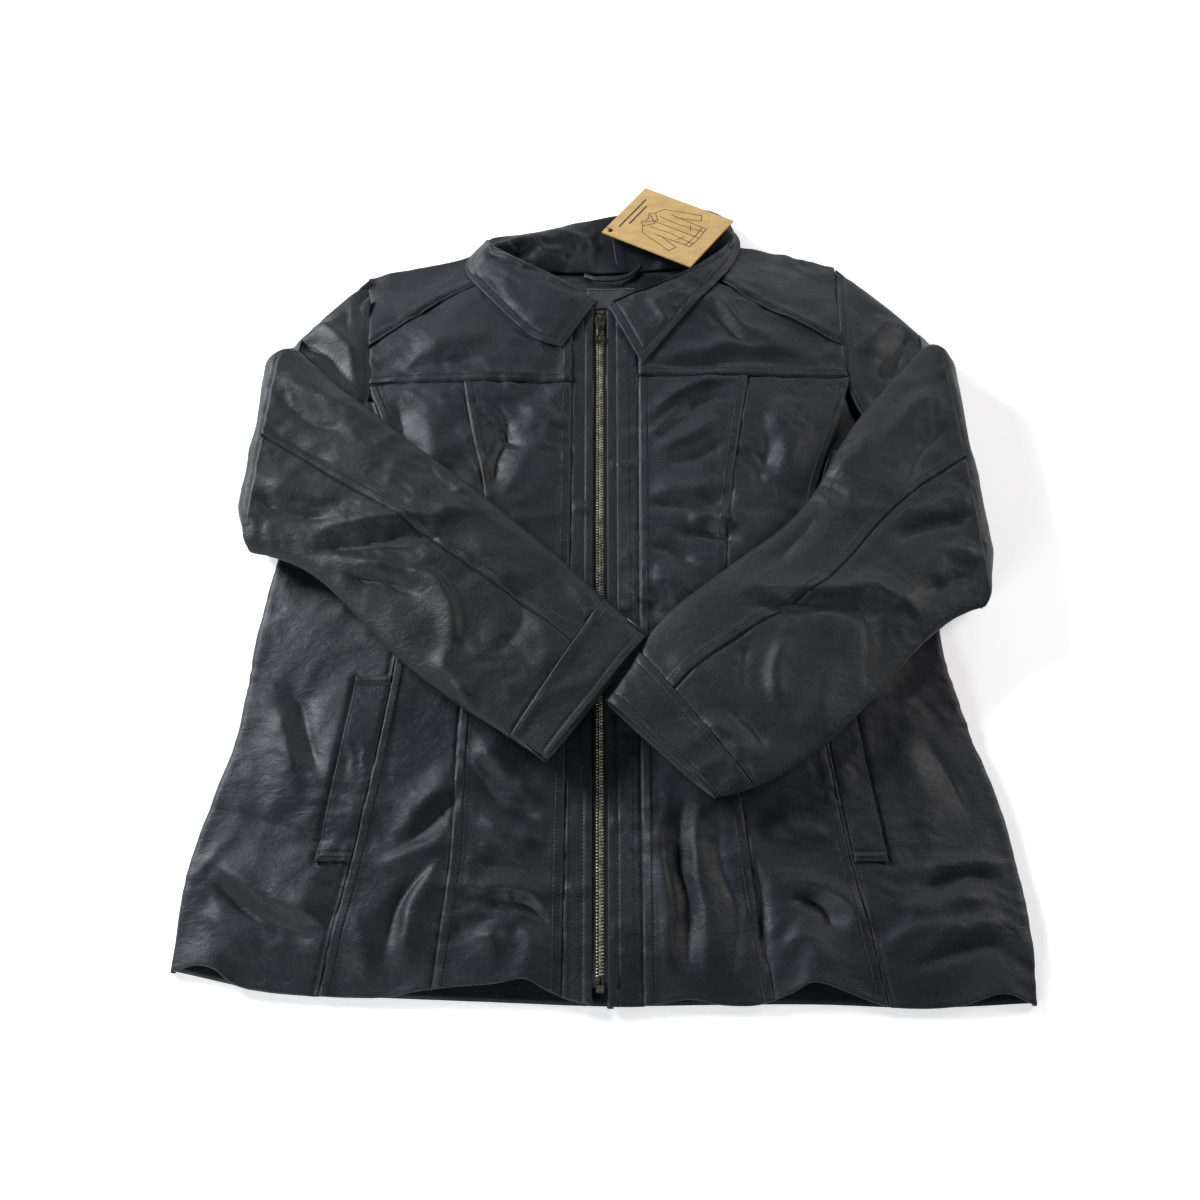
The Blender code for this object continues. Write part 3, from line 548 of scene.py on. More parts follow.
def sheet(name, grid, thickness, material, body, replaced=(), ring=False):
    """A leather or cloth sheet over a grid, thickened on its inner side.

    Its outer face is the one that looks up at its highest point.
    """
    rows, columns = grid.shape[:2]
    faces = grid_faces(rows, columns, ring)
    top = int(np.argmax(grid[..., 2]))
    points = grid.reshape(-1, 3)
    lift = sum(np.cross(points[c] - points[a], points[d] - points[b])[2]
               for a, b, c, d in faces if top in (a, b, c, d))
    if lift < 0:
        faces = [f[::-1] for f in faces]
    piece = new_piece(name, points, faces, material, body, replaced)
    if thickness:
        shell = piece.modifiers.new("thickness", "SOLIDIFY")
        shell.thickness = thickness
        shell.offset = -1
    return piece


def turn_under(grid, side, radius, tuck):
    """The grid with its named side rolled down and in, then tucked back underneath."""
    view = edge_first(grid, side)
    edge, inner = view[0], view[1]
    out = edge - inner
    out[:, 2] = 0
    out = unit(out)
    radius = np.broadcast_to(radius, (len(edge),))[:, None]
    down = np.array((0, 0, -1.0))
    extra = []
    for a in np.linspace(0, math.pi, ARC_STEPS + 1)[1:]:
        extra.append(edge + radius * (out * math.sin(a) + down * (1 - math.cos(a))))
    for t in np.linspace(0, 1, TUCK_STEPS + 1)[1:]:
        extra.append(extra[ARC_STEPS - 1] - out * tuck * t)
    extra = np.array(extra)[::-1]
    if side == "top":
        return np.concatenate([extra, grid], 0)
    if side == "bottom":
        return np.concatenate([grid, extra[::-1]], 0)
    if side == "left":
        return np.concatenate([extra.swapaxes(0, 1), grid], 1)
    return np.concatenate([grid, extra[::-1].swapaxes(0, 1)], 1)


STITCH_LINES = {}


def add_stitches(body, points, lift=STITCH_LIFT, pitch=STITCH_PITCH):
    """Remember a row of stitches along the points, for make_stitches."""
    STITCH_LINES.setdefault(body, []).append((np.asarray(points), lift, pitch))


def make_stitches():
    """One mesh of short rounded threads for each body."""
    for body, lines in STITCH_LINES.items():
        vertices, faces = [], []
        for points, lift, pitch in lines:
            count = max(2, round(line_length(points) / pitch))
            places = spaced(points, 3 * count, 1)
            for k in range(count):
                a, b = places[3 * k], places[3 * k + 2]
                middle = (a + b) / 2 + (0, 0, lift)
                stitch(vertices, faces, a, middle, b)
        new_piece("stitches_" + body, vertices, faces, THREAD, body)


def stitch(vertices, faces, start, middle, end):
    """One stitch: a five-sided thread that dips into the leather at both ends."""
    along = unit(end - start)
    side = unit(np.cross(along, (0, 0, 1.0)))
    up = np.cross(side, along)
    base = len(vertices)
    rise = up * STITCH_RADIUS * 0.4
    for place, size in ((start, 0.35), (mix(start, middle, 0.55) + rise, 1.0),
                        (mix(end, middle, 0.55) + rise, 1.0), (end, 0.35)):
        for k in range(5):
            a = 2 * math.pi * k / 5
            vertices.append(place + STITCH_RADIUS * size
                            * (side * math.cos(a) + up * math.sin(a)))
    for r in range(3):
        for k in range(5):
            a, b = base + 5 * r + k, base + 5 * r + (k + 1) % 5
            faces.append((a, b, b + 5, a + 5))
    faces.append(tuple(base + k for k in range(5))[::-1])
    faces.append(tuple(base + 15 + k for k in range(5)))


# ---------------------------------------------------------------- folds

# Each fold is a line in millimetres, its height (a valley's is negative), its half width, and
# how far it leans: a positive lean makes the side on the line's left hand longer and the
# other steeper.
BODY_FOLDS = [
    # left yoke and chest
    (((-171, 234), (-132, 246), (-89, 263)), 3.0, 13, 0.3),
    (((-188, 219), (-140, 225), (-88, 232)), -1.6, 7, 0.0),
    (((-205, 262), (-160, 283), (-118, 300)), -1.5, 7, 0.2),
    (((-95, 192), (-81, 155), (-89, 120), (-94, 90)), -3.0, 8, 0.4),
    (((-108, 180), (-84, 152), (-60, 140)), -2.0, 6, 0.0),
    (((-73, 182), (-47, 172), (-34, 150)), 2.4, 10, -0.2),
    (((-150, 190), (-140, 140), (-146, 100)), 2.0, 14, 0.2),
    (((-180, 195), (-168, 160), (-170, 130)), -1.8, 8, 0.2),
    # left side panel
    (((-267, -70), (-245, -127), (-229, -180)), 3.4, 13, -0.4),
    (((-252, -60), (-232, -110), (-214, -160)), -2.6, 9, 0.0),
    (((-306, -212), (-254, -241), (-196, -268)), 3.4, 12, 0.5),
    (((-300, -236), (-254, -262), (-205, -284)), -2.6, 8, 0.0),
    (((-284, -172), (-228, -196), (-193, -204)), -1.8, 8, 0.0),
    (((-296, -255), (-276, -280), (-262, -306)), 2.6, 12, 0.2),
    # left middle and centre panels
    (((-104, -148), (-134, -172), (-163, -200)), 3.0, 9, -0.4),
    (((-104, -163), (-136, -190), (-160, -212)), -2.4, 6, 0.2),
    (((-110, -190), (-136, -207), (-168, -224)), 2.6, 8, 0.4),
    (((-117, -211), (-140, -250), (-147, -280), (-156, -316)), 3.6, 9, 0.5),
    (((-128, -222), (-152, -256), (-162, -300)), -2.6, 7, 0.2),
    (((-104, -120), (-69, -154), (-36, -172)), 3.0, 9, 0.3),
    (((-100, -150), (-72, -176), (-40, -186)), -2.6, 7, 0.0),
    (((-98, -176), (-72, -200), (-40, -206)), 2.6, 8, 0.2),
    (((-100, -215), (-70, -222), (-34, -238)), -2.2, 8, 0.2),
    (((-104, -246), (-70, -240), (-33, -256)), 2.8, 8, 0.4),
    (((-96, -262), (-64, -254), (-34, -270)), -3.0, 6, 0.0),
    (((-86, -322), (-78, -296), (-84, -268)), 3.4, 11, 0.2),
    (((-52, -322), (-48, -296), (-54, -272)), 3.2, 10, -0.2),
    (((-168, -322), (-176, -280), (-190, -250)), 2.6, 11, 0.2),
    # right yoke and chest
    (((76, 292), (105, 289), (123, 269), (150, 257), (180, 256)), 3.2, 9, -0.4),
    (((82, 276), (104, 272), (124, 252), (160, 244)), -2.8, 7, 0.0),
    (((44, 234), (88, 237), (110, 246), (167, 240), (203, 221)), 3.0, 7, 0.2),
    (((44, 224), (88, 224), (120, 232), (170, 228)), -2.0, 5, 0.0),
    (((150, 285), (180, 268), (208, 262)), 2.2, 9, 0.2),
    (((41, 160), (54, 184), (83, 202), (122, 209)), 3.2, 6, 0.4),
    (((48, 150), (66, 172), (96, 188), (122, 190)), -2.2, 6, 0.0),
    (((40, 150), (59, 166), (80, 182)), 2.4, 5, 0.2),
    (((44, 138), (77, 152), (108, 178)), 2.0, 6, 0.3),
    (((50, 126), (84, 130), (112, 150)), -1.8, 8, 0.0),
    (((36, 86), (71, 90), (106, 84)), -2.6, 6, -0.3),
    (((38, 98), (71, 102), (104, 100)), 2.0, 8, 0.0),
    (((70, 72), (93, 76), (116, 66)), 3.4, 8, 0.0),
    (((52, 54), (84, 62), (122, 50)), -3.0, 8, 0.0),
    (((39, 24), (61, 14), (83, 5)), 2.6, 8, 0.2),
    (((36, 48), (60, 40), (84, 24)), -2.2, 7, 0.0),
    (((150, 200), (160, 150), (150, 100)), 2.2, 15, 0.2),
    (((135, 190), (140, 140), (128, 90)), -1.6, 9, 0.0),
    # right centre and middle panels, below the sleeve
    (((50, -150), (46, -205), (52, -262), (47, -318)), 3.4, 8, -0.4),
    (((79, -160), (72, -215), (79, -270), (74, -322)), 3.0, 8, 0.4),
    (((64, -160), (59, -211), (67, -257), (62, -316)), -3.6, 6, 0.0),
    (((98, -170), (92, -215), (100, -262), (96, -322)), -1.6, 8, 0.0),
    (((118, -205), (120, -257), (125, -316)), -3.4, 8, -0.2),
    (((131, -228), (161, -238), (188, -258), (184, -286)), 3.4, 8, 0.3),
    (((138, -248), (160, -254), (172, -268), (168, -286)), -3.6, 7, 0.0),
    (((136, -276), (156, -288), (166, -318)), 3.8, 11, 0.2),
    (((124, -180), (150, -196), (184, -204)), 2.2, 9, 0.2),
    # right side panel
    (((316, -219), (279, -216), (236, -228)), 3.0, 8, 0.4),
    (((312, -232), (270, -230), (236, -240)), -2.4, 6, 0.0),
    (((296, -240), (254, -248), (216, -256)), 2.6, 8, 0.3),
    (((312, -268), (252, -268), (206, -286)), 3.0, 10, 0.4),
    (((306, -290), (262, -288), (222, -304)), -2.2, 8, 0.0),
    (((226, -120), (246, -160), (250, -200)), 2.6, 12, 0.2),
    (((256, -110), (272, -150), (290, -190)), -2.2, 10, 0.0),
    # placket
    (((8, 130), (20, 124), (32, 128)), 1.2, 5, 0.0),
    (((-8, 90), (-18, 84), (-27, 88)), 1.0, 5, 0.0),
    (((8, -190), (20, -184), (32, -192)), 1.2, 5, 0.0),
    (((-8, -232), (-18, -240), (-28, -236)), 1.4, 5, 0.0),
    (((8, -262), (20, -270), (31, -264)), 1.1, 6, 0.0),
]


def crease(across):
    """The section of a valley: a narrow bottom between rounded flanks."""
    return 1.25 * np.exp(0.21 - 1.5 * np.hypot(across, 0.14))


def fold_relief(x, y, folds, strength=1.0):
    """The summed height of a list of folds, with slightly wandering lines and soft ends."""
    wander = 5 * MM
    wx = x + wander * noise(x, y, 45 * MM, 1)
    wy = y + wander * noise(x, y, 45 * MM, 2)
    total = np.zeros(x.shape)
    for points, height, width, lean in folds:
        line = curve_through(mm(*points), 4)
        reach = 3.2 * width * MM * (1 + abs(lean))
        near = ((wx > line[:, 0].min() - reach) & (wx < line[:, 0].max() + reach)
                & (wy > line[:, 1].min() - reach) & (wy < line[:, 1].max() + reach))
        if not near.any():
            continue
        distance, side, share = to_line(line, wx[near], wy[near])
        across = distance / (width * MM * (1 + side * lean))
        body = smooth(np.minimum(share, 1 - share) / 0.32)
        body = body * (1 + 0.45 * noise(wx[near], wy[near], 30 * MM, 3))
        shape = np.exp(-across ** 2) if height > 0 else crease(across)
        total[near] += strength * height * MM * shape * body
    return total


def rumple(x, y, size, seed, turn=0.0, stretch=1.0):
    """Round hills with narrow creases between them, drawn out along a direction."""
    along = x * math.cos(turn) + y * math.sin(turn)
    across = y * math.cos(turn) - x * math.sin(turn)
    bent = 0.55 * size * noise(along, across, 2.3 * size, seed + 5)
    value = noise(along / stretch + bent, across + bent, size, seed)
    return 1 - np.sqrt(value * value + 0.004) * 1.9


def leather_wrinkles(x, y, seed):
    """Uneven small relief: calm patches between creased ones."""
    calm = smooth(0.55 + 1.1 * noise(x, y, 95 * MM, seed + 3))
    broad = 2.1 * MM * noise(x, y, 62 * MM, seed + 9)
    middle = 1.9 * MM * rumple(x, y, 30 * MM, seed, 0.7, 1.9) * (0.35 + 0.65 * calm)
    small = 1.2 * MM * rumple(x, y, 14 * MM, seed + 1, -0.5, 2.2) * calm
    tiny = 0.34 * MM * rumple(x, y, 7 * MM, seed + 2, 0.2, 1.6) * calm
    return broad + middle + small + tiny


# ---------------------------------------------------------------- the body

PANEL_KINDS = ("placket", "front_centre", "front_middle", "front_side", "front_yoke")
FRONT = HeightMap([f"{kind}_{side}" for side in SIDES for kind in PANEL_KINDS + ("shoulder",)],
                  (-0.36, -0.36), (0.36, 0.40))
HEM = np.vstack([sides_of(f"{kind}_{side}")["bottom"]
                 for side, kinds in (("left", PANEL_KINDS[3::-1]), ("right", PANEL_KINDS[:4]))
                 for kind in kinds])
HEM_EDGE_Z = 5.2 * MM
HEM_DROP = 42 * MM
HEM_LIFT = mm((-330, -2), (-317, 0), (-300, 7), (-284, 8), (-260, 1), (-168, 0), (-135, 4),
              (-105, 7), (-78, 9), (-56, 12), (-40, 7), (-14, 1), (29, 0), (65, 3), (90, 0),
              (118, 0), (142, 6), (159, 11), (188, 5), (215, 0), (262, 1), (290, 6), (304, 5),
              (318, 0), (330, -2))
FRONT_STRENGTH, SLEEVE_STRENGTH = 1.45, 1.25      # of the folds in the lists
MOUTH_DIP, MOUTH_WIDTH = 2.4 * MM, 2.6 * MM
POCKET_MOUTHS = [sides_of(f"pocket_welt_{side}")[side] + mm((1.2 * sign, 0, 0))
                 for side, sign in SIDES.items()]


def mouth_dip(mouth, x, y):
    """Depth of the groove along a pocket's mouth."""
    return MOUTH_DIP * np.exp(-(to_line(mouth, x, y)[0] / MOUTH_WIDTH) ** 2)


def hem_wave(x):
    """How far the hem lifts."""
    return np.interp(x, *curve_through(HEM_LIFT, 4).T)


def body_z(x, y):
    """Height of the front of the body: the CAD's crown, folds, wrinkles and a resting hem."""
    z = FRONT(x, y)
    rise = np.abs(x) / MM
    quiet = smooth((rise - 8) / 26)
    z = z + fold_relief(x, y, BODY_FOLDS, FRONT_STRENGTH)
    z = z + leather_wrinkles(x, y, 3) * (0.25 + 0.75 * quiet)
    for mouth in POCKET_MOUTHS:
        z = z - mouth_dip(mouth, x, y)
    above_hem = y - np.interp(x, HEM[:, 0], HEM[:, 1])
    rest = HEM_EDGE_Z + 1.1 * hem_wave(x) + 4 * MM * (1 - quiet)
    low = mix(rest, z, 0.18)
    return np.maximum(mix(low, z, smooth(above_hem / HEM_DROP)), 2.6 * MM)


def shift_hem(grid):
    """Draw the hem in where it waves."""
    x, y = grid[..., 0], grid[..., 1]
    above = y - np.interp(x, HEM[:, 0], HEM[:, 1])
    grid[..., 1] = y + hem_wave(x) * 1.35 * (1 - smooth(above / (110 * MM)))
    return grid


def seam_profile(distance, style):
    """The height of a seam's relief at a distance from it."""
    if style == "lap":
        return (LAP_RISE * smooth((LAP_WIDTH + 1.8 * MM - distance) / (2.6 * MM))
                - (LAP_RISE + 0.7 * MM) * np.exp(-(distance / (0.75 * MM)) ** 2)
                - 0.65 * MM * np.exp(-((distance - LAP_STITCH) / (0.8 * MM)) ** 2))
    if style == "under":
        return (-0.8 * MM * np.exp(-(distance / (1.5 * MM)) ** 2)
                - 0.35 * MM * np.exp(-distance / (6 * MM)))
    return (0.3 * MM * smooth((TURN_STITCH - 0.5 * MM - distance) / (2 * MM))
            - 0.65 * MM * np.exp(-((distance - TURN_STITCH) / (0.9 * MM)) ** 2))


def seam_relief(grid, sides, styles):
    """Raised laps, dipped seams and puckers along a panel's sides."""
    x, y = grid[..., 0], grid[..., 1]
    total = np.zeros(x.shape)
    for side, style in styles.items():
        distance, _, share = to_line(spaced(sides[side], 24), x, y)
        run = share * line_length(sides[side])
        pucker = noise(run, distance * 0.3, 11 * MM, len(side)) * np.exp(-distance / (13 * MM))
        total += 0.75 * MM * pucker
        total += seam_profile(distance, style)
    return total


def inset_line(grid, side, distance):
    """The line on a grid at a distance from one of its sides."""
    view = edge_first(grid, side)
    steps = np.linalg.norm(np.diff(view, axis=0), axis=2)
    run = np.concatenate([np.zeros((1, view.shape[1])), np.cumsum(steps, 0)])
    return np.array([[np.interp(distance, run[:, c], view[:, c, k]) for k in range(3)]
                     for c in range(view.shape[1])])


def body_panel(node, styles, wraps, sign, gaps=None):
    """One leather panel of the front, over the CAD panel of the same name.

    styles names the seam at each side, wraps lists the sides that turn under with their
    radius and depth, and gaps gives how far a side grows over its neighbour.
    """
    named = {"inner": "right" if sign < 0 else "left", "outer": "left" if sign < 0 else "right"}
    styles = {named.get(k, k): v for k, v in styles.items()}
    wraps = [(named.get(k, k), *rest) for k, *rest in wraps]
    sides = sides_of(node)
    grid = fill(sides, STEP, [s for s, style in styles.items() if style != "plain"])
    amounts = {s: SEAM_GAP / 2 for s in styles}
    amounts.update({named.get(k, k): v for k, v in (gaps or {}).items()})
    grid = grow(grid, amounts)
    grid[..., 2] = body_z(grid[..., 0], grid[..., 1]) + seam_relief(grid, sides, styles)
    grid = shift_hem(grid)
    for side, style in styles.items():
        if style == "lap":
            add_stitches("jacket_body", inset_line(grid, side, LAP_STITCH))
        if style == "turned":
            add_stitches("jacket_body", inset_line(grid, side, TURN_STITCH))
            add_stitches("jacket_body", inset_line(grid, side, PLACKET_ROW))
    for side, radius, tuck in wraps:
        if radius is None:
            edge = edge_first(grid, side)[0]
            radius = np.maximum(edge[:, 2] - 0.7 * MM, 1 * MM) / 2
        grid = turn_under(grid, side, radius, tuck)
    grid[..., 2] = np.maximum(grid[..., 2], 0.3 * MM)
    sheet("leather_" + node, grid, LEATHER, BODY_LEATHER, "jacket_body", (node,))


HEM_TURN = ("bottom", 1.5 * MM, HEM_FOLD)
for jacket_side, side_sign in SIDES.items():
    body_panel(f"placket_{jacket_side}", {"inner": "turned", "outer": "under"},
               [("inner", 0.9 * MM, 3 * MM), HEM_TURN], side_sign)
    body_panel(f"front_centre_{jacket_side}", {"inner": "lap", "outer": "lap", "top": "under"},
               [HEM_TURN], side_sign)
    body_panel(f"front_middle_{jacket_side}", {"inner": "under", "outer": "lap",
                                               "top": "under"}, [HEM_TURN], side_sign)
    body_panel(f"front_side_{jacket_side}", {"inner": "under"},
               [HEM_TURN, ("outer", None, 0.5 * MM)], side_sign,
               gaps={"inner": CURVED_GAP})
    body_panel(f"front_yoke_{jacket_side}", {"inner": "lap", "outer": "under", "top": "under",
                                             "bottom": "lap"}, [], side_sign)
    body_panel(f"shoulder_{jacket_side}", {"bottom": "lap", "inner": "under",
                                           "outer": "under"},
               [("top", None, 24 * MM)], side_sign, gaps={"bottom": CURVED_GAP})


# ---------------------------------------------------------------- the sleeves

# Each sleeve's two long edges from the fold to the cuff, the share of the way across at
# which its seam lies, and the edges of the head from the armhole to the fold.
SLEEVES = {
    "left": {
        "top": mm((-277, 240), (-198, 170), (-93, 82), (-30, 25), (8, -13), (37, -40)),
        "low": mm((-290, 38), (-230, 12), (-163, -57), (-109, -100), (-72, -125), (-42, -146)),
        "seam": (0.50, 0.50, 0.42, 0.38, 0.35, 0.33),
        "head_top": mm((-209, 326), (-246, 286), (-277, 247)),
        "head_low": mm((-238, 131), (-264, 88), (-290, 45)),
        "armhole": mm((-209, 327), (-203.5, 247), (-202, 190), (-237, 131)),
    },
    "right": {
        "top": mm((294, 244), (222, 164), (164, 70), (97, 15), (45, -32), (6, -97)),
        "low": mm((314, -10), (266, -38), (200, -108), (155, -146), (120, -166), (87, -175)),
        "seam": (0.50, 0.47, 0.42, 0.36, 0.32, 0.30),
        "head_top": mm((217, 336), (262, 290), (296, 250)),
        "head_low": mm((248, 140), (284, 70), (315, -8)),
        "armhole": mm((215, 338), (212.5, 247), (217, 200), (246, 140)),
    },
}
SLEEVE_FOLDS = {
    "left": [
        (((-240, 41), (-221, 51), (-148, 62), (-82, 68)), 4.0, 9, 0.3),
        (((-245, 28), (-202, 33), (-154, 42), (-120, 46)), -4.5, 8, 0.0),
        (((-246, 34), (-181, 18), (-132, 1), (-117, -37), (-123, -78)), 4.2, 8, -0.3),
        (((-208, 8), (-168, 3), (-138, -13)), -4.0, 9, 0.0),
        (((-133, -59), (-115, -82), (-100, -106)), 3.0, 8, 0.2),
        (((-276, 205), (-235, 178), (-190, 158)), 2.4, 10, 0.3),
        (((-278, 186), (-240, 150), (-205, 140)), -2.6, 8, 0.0),
        (((-284, 150), (-250, 128), (-216, 112)), -2.0, 7, 0.0),
        (((-288, 105), (-252, 84), (-200, 84)), 2.6, 9, 0.3),
        (((-290, 84), (-250, 64), (-212, 62)), -2.4, 7, 0.0),
        (((-150, 122), (-120, 84), (-98, 76)), -1.6, 8, 0.2),
        (((-110, 44), (-80, 20), (-60, -6)), 2.0, 10, 0.0),
        (((-70, 0), (-64, -34), (-78, -66)), -1.8, 8, 0.2),
        (((-32, 14), (-10, -14), (2, -40)), 1.6, 8, 0.2),
        (((-52, -20), (-40, -50), (-48, -84)), 1.6, 8, 0.2),
    ],
    "right": [
        (((97, -8), (127, -3), (175, -8), (223, -6), (270, -36)), 4.8, 8, 0.4),
        (((108, -22), (150, -18), (196, -24), (236, -28)), -3.6, 8, 0.0),
        (((196, -12), (214, -46), (206, -92)), -3.4, 10, 0.3),
        (((250, 8), (278, 26), (302, 30), (316, 20)), 3.4, 10, -0.3),
        (((256, -8), (284, 4), (310, 2)), -2.2, 9, 0.0),
        (((77, -113), (95, -129), (112, -145)), 2.4, 6, 0.0),
        (((92, -104), (116, -124), (132, -142)), -2.4, 6, 0.0),
        (((290, 200), (262, 165), (240, 130)), 2.6, 12, 0.2),
        (((298, 150), (268, 120), (250, 80)), -2.4, 9, 0.0),
        (((232, 160), (216, 128), (190, 92)), 2.0, 9, 0.2),
        (((306, 90), (276, 70), (236, 56)), 2.6, 9, 0.2),
        (((308, 68), (270, 52), (232, 36)), -2.6, 8, 0.0),
        (((180, 64), (150, 30), (140, 12)), -2.0, 8, 0.0),
        (((150, -40), (136, -76), (146, -110)), 2.4, 9, 0.2),
        (((120, -40), (108, -72), (112, -100)), -1.8, 8, 0.0),
        (((56, -56), (70, -72), (88, -84)), 1.6, 7, 0.0),
        (((180, -60), (170, -100), (150, -130)), 2.2, 10, 0.0),
    ],
}
HEAD_FOLDS = {
    "left": [
        (((-282, 262), (-246, 238), (-206, 196)), -7.0, 9, 0.0),
        (((-278, 246), (-240, 222), (-208, 178)), 4.0, 10, 0.0),
        (((-262, 274), (-232, 254), (-206, 222)), 3.6, 10, 0.0),
        (((-224, 306), (-226, 272), (-214, 240)), -2.4, 7, 0.0),
        (((-240, 290), (-238, 262), (-228, 240)), 2.0, 8, 0.0),
    ],
    "right": [
        (((242, 208), (262, 240), (276, 268)), -8.0, 11, 0.0),
        (((306, 262), (290, 216), (278, 170)), 3.4, 10, 0.0),
        (((228, 236), (248, 262), (262, 282)), 3.4, 10, 0.0),
        (((222, 310), (236, 284), (240, 258)), -2.4, 7, 0.0),
        (((236, 322), (252, 296), (264, 280)), 2.0, 8, 0.0),
    ],
}
SLEEVE_CENTRE_Z, SLEEVE_HALF = 40.2 * MM, 9.8 * MM
CUFF_HALF = 8.2 * MM
HEAD_CENTRE_Z, HEAD_HALF = 13.0 * MM, 12.0 * MM
CUFF_BAND = 40 * MM
ELBOW_BULGE = 13 * MM
FOLD_CORNERS = (24 * MM, 9 * MM)


def cosine_shares(count):
    """Shares of a length, close together at both ends."""
    return (1 - np.cos(np.linspace(0, math.pi, count + 1))) / 2


def lens(c):
    """Half the height of a pressed tube at a share of its width, with round edges."""
    return (1 - np.abs(2 * c - 1) ** 2.6) ** 0.5


def corner_draw(width, shares, run):
    """How far the two corners of a tube's folded end are drawn back along the tube."""
    total = 0
    for radius, from_edge in zip(FOLD_CORNERS, (shares * width, (1 - shares) * width)):
        q = np.clip(1 - from_edge / radius, 0, 1)
        total = total + (radius * (1 - np.sqrt(1 - 0.97 * q * q))
                         * np.clip(1 - run / (2.6 * radius), 0, 1))
    return total


def normals_of(grid, ring=False):
    """The direction square to the grid at each point."""
    if ring:
        wide = np.concatenate([grid[:, -1:], grid, grid[:, :1]], 1)
        across = wide[:, 2:] - wide[:, :-2]
    else:
        across = np.gradient(grid, axis=1)
    along = np.gradient(grid, axis=0)
    return unit(np.cross(along, across))


def puff(grid, height, centre, ring=False):
    """Move each point along its normal by a height; centre is where the inside lies."""
    normal = normals_of(grid, ring)
    outward = np.sign((normal * (grid - centre)).sum(-1, keepdims=True).mean())
    return grid + normal * outward * height[..., None]


class Sleeve:
    """The folded part of one sleeve, as edge curves and a pressed-tube section."""

    def __init__(self, side):
        """Measure the sleeve on one side."""
        self.side, self.line = side, SLEEVES[side]
        self.length = line_length(curve_through((self.line["top"] + self.line["low"]) / 2))
        self.wrist = 1 - CUFF_BAND / self.length
        start, later = spaced((self.line["top"] + self.line["low"]) / 2, np.array([0, 0.2]))
        self.forward = unit(later - start)

    def station(self, along):
        """The two edge points and the seam's share at shares of the length."""
        top, low = spaced(self.line["top"], along), spaced(self.line["low"], along)
        seam = np.interp(along, np.linspace(0, 1, len(self.line["seam"])), self.line["seam"])
        return top, low, seam

    def surface(self, along, shares, faces, shrink=0.0, inset=0.0):
        """Points for shares across (one row for each station); faces is +1 top, -1 under."""
        top, low, _ = self.station(along)
        width = np.linalg.norm(low - top, axis=1)[:, None]
        c = np.clip(shares, 0, 1)
        moved = inset / width + c * (1 - 2 * inset / width)
        flat = mix(top[:, None], low[:, None], moved[..., None])
        run = along[:, None] * self.length
        flat += self.forward * corner_draw(width, moved, run)[..., None]
        thin = smooth((along - 0.45) / 0.55)[:, None]
        half = mix(SLEEVE_HALF, CUFF_HALF, thin) - shrink
        sag = 2.0 * MM * thin * np.sin(math.pi * c)
        centre = SLEEVE_CENTRE_Z - 1.2 * MM * thin
        z = centre + faces * half * lens(c) - np.where(faces < 0, 0, sag * 0.4)
        return np.dstack([flat, z])

    def dress(self, grid, along, shares, faces, ring=False):
        """Add folds and wrinkles."""
        x, y = grid[..., 0], grid[..., 1]
        upper = np.clip(faces, 0, 1) * smooth(lens(np.clip(shares, 0, 1)) * 1.6)
        seed = 21 if self.side == "left" else 33
        height = fold_relief(x, y, SLEEVE_FOLDS[self.side], SLEEVE_STRENGTH) * upper
        height = height + leather_wrinkles(x, y, seed) * (0.35 + 0.65 * upper)
        run = along[:, None] * self.length
        tight = np.exp(-run / (70 * MM))
        creases = rumple(run + 0 * x, shares * 0.16, 17 * MM, seed + 4, 0.0, 1.0)
        height = height + 0.9 * MM * tight * creases * (0.3 + 0.7 * upper)
        centre = np.dstack([x, y, np.full(x.shape, SLEEVE_CENTRE_Z)])
        return puff(grid, height, centre, ring)


def make_folded_part(side):
    """The part of a sleeve from the fold to the cuff: two panels, cuff and lining."""
    sleeve = Sleeve(side)
    body = "sleeve_" + side
    fine = cosine_shares(round(110 * MM / STEP * 1.5))
    back = cosine_shares(24)
    along = shares_for(sleeve.length * sleeve.wrist, STEP, False, True) * sleeve.wrist
    seam = sleeve.station(along)[2][:, None]
    first = np.concatenate([seam * (1 - fine[None]), seam * back[None, 1:]], 1)
    first_faces = np.concatenate([np.ones(len(fine)), -np.ones(len(back) - 1)])[None]
    second = np.concatenate([1 - (1 - seam) * (1 - back[None]),
                             1 - (1 - seam) * fine[None, 1:]], 1)
    second_faces = np.concatenate([-np.ones(len(back)), np.ones(len(fine) - 1)])[None]
    width = np.linalg.norm(np.subtract(*sleeve.station(along)[:2]), axis=1)[:, None]
    to_wrist = (sleeve.wrist - along)[:, None] * sleeve.length
    for name, shares, faces, lap in (("outer", first, first_faces, True),
                                     ("inner", second, second_faces, False)):
        faces = np.broadcast_to(faces, shares.shape)
        grid = sleeve.surface(along, shares, faces)
        grid = sleeve.dress(grid, along, shares, faces)
        distance = np.abs(shares - seam) * width
        relief = seam_profile(distance, "lap" if lap else "under")
        relief = relief + seam_profile(to_wrist + 0 * distance, "under")
        relief = relief + 0.3 * MM * noise(along[:, None] * sleeve.length + 0 * distance,
                                           distance * 0.4, 9 * MM, 8) * np.exp(
                                               -distance / (9 * MM))
        grid[..., 2] += np.where(faces > 0, relief, 0)
        if lap:
            add_stitches(body, inset_line(grid[:, :len(fine)], "left", LAP_STITCH))
        sheet(f"sleeve_{name}_leather_{side}", grid, LEATHER, SLEEVE_LEATHER, body,
              (f"sleeve_{name}_{side}",))
    make_cuff(sleeve, body)
    make_sleeve_lining(sleeve, body)
    return sleeve


